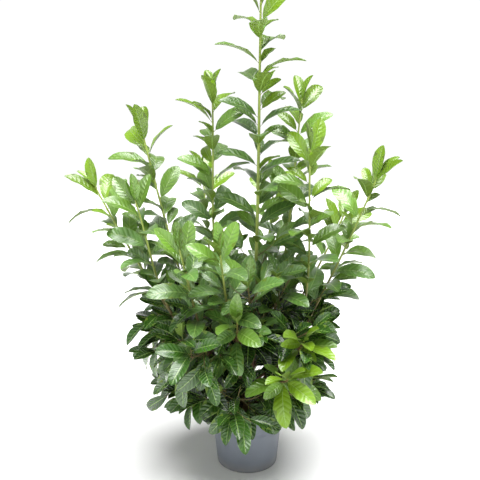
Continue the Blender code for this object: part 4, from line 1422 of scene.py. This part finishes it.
class LAUREL_OT_bark(bpy.types.Operator):
    """Makes the trunk and boughs with the relief of their bark"""

    bl_idname = "laurel.bark"
    bl_label = "Bark"

    def execute(self, context):
        colours = context.scene.laurel_colours
        depth = context.scene.laurel_sizes.bark_relief
        look = plain_look("brown bark", colours.bark, shaded(colours.bark, BARK_DARKER), BARK_STRETCH)
        shapes = []
        for number, name in enumerate(BARK_NODES):
            curve, radii = plant()["growth"].lines[name]
            points, sizes = resampled(curve, radii, TRUNK_POINTS if name == "trunk" else BOUGH_POINTS)
            if name == "trunk":
                heights = points[:, 2] - points[0, 2]
                sizes = np.interp(heights, (0.0, heights[-1]), radii)
                sizes = sizes + FLARE * np.exp(-heights / FLARE_HEIGHT)
            draws = np.random.default_rng(BARK_SEED + number)
            turns = np.linspace(0, 2 * np.pi, BARK_SIDES, endpoint=False)
            along = lengths_along(points)
            relief = np.ones((len(points), BARK_SIDES))
            for wave in range(1, BARK_WAVES + 1):
                phase = draws.uniform(0, 2 * np.pi, 2)
                swing = np.sin(along * BARK_PITCH * wave + phase[0]) * BARK_SWING
                folds = (BARK_FOLDS + wave) * turns[None, :]
                relief += depth / wave * np.sin(folds + phase[1] + swing[:, None])
            shapes.append(tube(points, sizes, BARK_SIDES, relief))
        finished(mesh_object("bark_limbs", shapes, [look]), "bark", *BARK_NODES)
        return {"FINISHED"}


def lathe(profile, sides):
    """A closed surface of revolution: (r cos a, r sin a, z) for each point (r, z) of the profile.

    The profile runs from the axis on the inside, over the rim, and back to the axis below.
    """
    turns = np.linspace(0, 2 * np.pi, sides, endpoint=False)
    radius, height = np.array(profile[1:-1]).T
    rings = np.stack(np.broadcast_arrays(
        radius[:, None] * np.cos(turns), radius[:, None] * np.sin(turns), height[:, None]
    ), axis=-1).reshape(-1, 3)
    corners = np.vstack((rings, (0, 0, profile[0][1]), (0, 0, profile[-1][1])))
    return corners, *closed(len(radius), sides, inside_out=True)


class LAUREL_OT_pot(bpy.types.Operator):
    """Makes the pot, turned, with its rim, collar, foot and drain holes"""

    bl_idname = "laurel.pot"
    bl_label = "Pot"

    def execute(self, context):
        colours = context.scene.laurel_colours
        look = pot_look("pot plastic", colours.pot, colours.dust)
        inside = [
            (POT_FOOT_RADIUS, POT_FLOOR), (BODY_TOP_RADIUS, BODY_TOP), (COLLAR_FOOT_RADIUS, COLLAR_FOOT),
            (COLLAR_TOP_RADIUS, POT_HEIGHT - RIM_INSIDE), (COLLAR_TOP_RADIUS + RIM_INSIDE, POT_HEIGHT),
        ]
        profile = [(0.0, POT_FLOOR), *((radius - POT_WALL, height) for radius, height in inside)]
        for (radius, height), offsets in POT_CORNERS:
            profile += [(radius + out, height + up) for out, up in offsets]
        made = mesh_object("pot_shell", [lathe([*profile, (0.0, 0.0)], POT_SIDES)], [look])
        cut_drain_holes(made)
        finished(made, "pot", "pot")
        return {"FINISHED"}


def cut_drain_holes(made):
    """Takes a ring of round holes out of the pot's floor, and keeps the result as its mesh."""
    shapes = []
    for index in range(DRAIN_HOLES):
        turn = 2 * math.pi * (index + 0.5) / DRAIN_HOLES
        centre = np.array((DRAIN_RING * math.cos(turn), DRAIN_RING * math.sin(turn), 0.0))
        run = centre + np.array(((0.0, 0.0, -HOLE_REACH), (0.0, 0.0, HOLE_REACH)))
        shapes.append(tube(run, np.full(2, DRAIN_RADIUS), HOLE_SIDES))
    cutter = mesh_object("drain_cutter", shapes, [])
    cut = made.modifiers.new("drain holes", "BOOLEAN")
    cut.operation = "DIFFERENCE"
    cut.object = cutter
    mesh = bpy.data.meshes.new_from_object(made.evaluated_get(bpy.context.evaluated_depsgraph_get()))
    made.modifiers.clear()
    made.data = mesh
    bpy.data.objects.remove(cutter)


def soil_edge():
    """Radius of the compost where its top meets the collar, as in the source."""
    share = (SOIL_TOP - SOIL_FALL - COLLAR_FOOT) / (POT_HEIGHT - COLLAR_FOOT)
    return COLLAR_FOOT_RADIUS + share * (COLLAR_TOP_RADIUS - COLLAR_FOOT_RADIUS) - POT_WALL - GAP


def soil_height(across, deep):
    """Height of the compost: a low dome with sines of eight headings, flat round the trunk's foot."""
    radius = np.hypot(across, deep)
    lumps = np.zeros_like(radius)
    for wave in range(1, LUMP_WAVES + 1):
        turn = LUMP_TURN * wave
        run = across * math.cos(turn) + deep * math.sin(turn)
        lumps += np.sin((LUMP_PITCH + LUMP_PITCH_STEP * wave) * run + wave) / math.sqrt(wave)
    calm = np.clip((radius - CALM_TO) / CALM_FADE, 0.0, 1.0)
    calm = calm * np.clip((soil_edge() - radius) / EDGE_FADE, 0.0, 1.0)
    return SOIL_TOP - SOIL_FALL * (radius / soil_edge()) ** 2 + LUMP * lumps * calm - SOIL_SUNK * calm


class LAUREL_OT_compost(bpy.types.Operator):
    """Makes the compost's lumpy top"""

    bl_idname = "laurel.compost"
    bl_label = "Compost"

    def execute(self, context):
        colours = context.scene.laurel_colours
        look = plain_look("bark compost", colours.compost, shaded(colours.compost, COMPOST_LIGHTER))
        edge = soil_edge()
        wall = POT_WALL + GAP
        profile = [(0.0, SOIL_TOP)]
        profile += [(radius, SOIL_TOP) for radius in np.linspace(SOIL_START, edge, SOIL_RINGS)]
        profile += [(COLLAR_FOOT_RADIUS - wall, COLLAR_FOOT), (BODY_TOP_RADIUS - wall, BODY_TOP)]
        profile += [(POT_FOOT_RADIUS - wall, POT_FLOOR + GAP), (0.0, POT_FLOOR + GAP)]
        corners, quads, lids = lathe(profile, SOIL_SIDES)
        top = corners[:, 2] > SOIL_TOP - GAP
        corners[top, 2] = soil_height(corners[top, 0], corners[top, 1])
        finished(mesh_object("compost_top", [(corners, quads, lids)], [look]), "compost", "soil")
        return {"FINISHED"}


BOX_SIGNS = np.array([
    (-1, -1, -1), (1, -1, -1), (1, 1, -1), (-1, 1, -1), (-1, -1, 1), (1, -1, 1), (1, 1, 1), (-1, 1, 1),
])
BOX_QUADS = np.array([(0, 3, 2, 1), (4, 5, 6, 7), (0, 1, 5, 4), (1, 2, 6, 5), (2, 3, 7, 6), (3, 0, 4, 7)])


def turned(first, second, angle):
    """A pair of coordinates turned by an angle: a cos - b sin and a sin + b cos."""
    return first * np.cos(angle) - second * np.sin(angle), first * np.sin(angle) + second * np.cos(angle)


class LAUREL_OT_chips(bpy.types.Operator):
    """Strews bark chips on the compost"""

    bl_idname = "laurel.chips"
    bl_label = "Bark chips"

    def execute(self, context):
        """Each chip is a slab with jittered corners, tilted about X, turned about Z, laid on the lumps."""
        colours = context.scene.laurel_colours
        count = context.scene.laurel_sizes.chips
        draws = np.random.default_rng(CHIP_SEED)
        radius = np.sqrt(draws.uniform(CHIP_FROM**2, (soil_edge() - CHIP_TO_EDGE) ** 2, count))
        around = draws.uniform(0.0, 2 * np.pi, count)
        half = draws.uniform(CHIP_LEAST, CHIP_MOST, (count, 3))
        jitter = draws.uniform(-CHIP_JITTER, CHIP_JITTER, (count, 8, 3))
        corners = BOX_SIGNS[None] * half[:, None] * (1 + jitter)
        tilt = draws.uniform(-CHIP_TILT, CHIP_TILT, count)[:, None]
        yaw = draws.uniform(0.0, 2 * np.pi, count)[:, None]
        deep, high = turned(corners[..., 1], corners[..., 2], tilt)
        across, deep = turned(corners[..., 0], deep, yaw)
        place_x = radius * np.cos(around)
        place_y = radius * np.sin(around)
        across = across + place_x[:, None]
        deep = deep + place_y[:, None]
        high = high + (soil_height(place_x, place_y) + CHIP_LIFT)[:, None]
        corners = np.stack((across, deep, high), axis=-1).reshape(-1, 3)
        quads = (BOX_QUADS[None] + 8 * np.arange(count)[:, None, None]).reshape(-1, 4)
        looks = [
            plain_look("bark chip", colours.chip, shaded(colours.chip, CHIP_DARKER)),
            plain_look("old bark chip", shaded(colours.chip, OLD_CHIP_DARKER), colours.compost),
        ]
        slots = np.repeat(np.arange(count) % 2, 6)
        shape = (corners, quads, np.zeros((0, 3), int))
        finished(mesh_object("bark_chips", [shape], looks, slots=slots), "compost")
        return {"FINISHED"}


class LAUREL_OT_stage(bpy.types.Operator):
    """Makes the floor, the light and the camera"""

    bl_idname = "laurel.stage"
    bl_label = "Stage"

    def execute(self, context):
        settings = context.scene.laurel_stage
        scene = context.scene
        half = settings.floor / 2
        corners = [(half * x, half * y, -FLOOR_SUNK) for x, y in ((-1, -1), (1, -1), (1, 1), (-1, 1))]
        shape = (np.array(corners), np.array([(0, 1, 2, 3)]), np.zeros((0, 3), int))
        look = plain_look("pale floor", *FLOOR_TONES)
        mesh_object("floor", [shape], [look])
        scene.world = bpy.data.worlds.new("studio")
        nodes = Nodes(scene.world)
        surround = nodes.tree.nodes["Background"].inputs
        nodes.put(surround["Color"], (1.0, 1.0, 1.0))
        nodes.put(surround["Strength"], nodes.spread(nodes.parts(nodes.where("Generated"))[2], *SURROUND))
        scene.view_settings.view_transform = "Standard"
        for name, kind, place, size_key, size, power in (
            ("key_light", "SUN", KEY_PLACE, "angle", math.radians(KEY_SPREAD), KEY_POWER),
            ("fill_light", "AREA", FILL_PLACE, "size", FILL_WIDTH, FILL_POWER),
        ):
            lamp = bpy.data.lights.new(name, kind)
            setattr(lamp, size_key, size)
            lamp.energy = power
            light = bpy.data.objects.new(name, lamp)
            scene.collection.objects.link(light)
            light.location = place
            light.rotation_euler = (Vector(LIT_POINT) - Vector(place)).to_track_quat("-Z", "Y").to_euler()
        eye = bpy.data.cameras.new("camera")
        eye.sensor_width = FILM_WIDTH
        eye.lens = settings.lens
        camera = bpy.data.objects.new("camera", eye)
        scene.collection.objects.link(camera)
        camera.location = EYE
        camera.rotation_euler = (math.radians(EYE_TILT), 0.0, 0.0)
        scene.camera = camera
        return {"FINISHED"}


class LAUREL_PT_panel(bpy.types.Panel):
    """Lists the pieces and what can be changed"""

    bl_label = "Potted cherry laurel"
    bl_space_type = "VIEW_3D"
    bl_region_type = "UI"
    bl_category = "Laurel"

    def draw(self, context):
        for group in (context.scene.laurel_sizes, context.scene.laurel_colours, context.scene.laurel_stage):
            for key in group.bl_rna.properties.keys():
                if key not in ("rna_type", "name"):
                    self.layout.prop(group, key)
        for made in OPERATORS:
            self.layout.operator(made.bl_idname)


OPERATORS = (
    LAUREL_OT_leaves, LAUREL_OT_stems, LAUREL_OT_buds, LAUREL_OT_bark, LAUREL_OT_pot, LAUREL_OT_compost,
    LAUREL_OT_chips, LAUREL_OT_stage,
)
CLASSES = (LaurelSizes, LaurelColours, StageSettings, *OPERATORS, LAUREL_PT_panel)


def register():
    """Makes the classes and their settings known."""
    for made in CLASSES:
        bpy.utils.register_class(made)
    bpy.types.Scene.laurel_sizes = PointerProperty(type=LaurelSizes)
    bpy.types.Scene.laurel_colours = PointerProperty(type=LaurelColours)
    bpy.types.Scene.laurel_stage = PointerProperty(type=StageSettings)


def unregister():
    """Takes back what register did, in reverse order."""
    del bpy.types.Scene.laurel_stage
    del bpy.types.Scene.laurel_colours
    del bpy.types.Scene.laurel_sizes
    for made in reversed(CLASSES):
        bpy.utils.unregister_class(made)


def main():
    """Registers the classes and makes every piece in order."""
    register()
    bpy.ops.laurel.leaves()
    bpy.ops.laurel.stems()
    bpy.ops.laurel.buds()
    bpy.ops.laurel.bark()
    bpy.ops.laurel.pot()
    bpy.ops.laurel.compost()
    bpy.ops.laurel.chips()
    bpy.ops.laurel.stage()


if __name__ == "__main__":
    main()
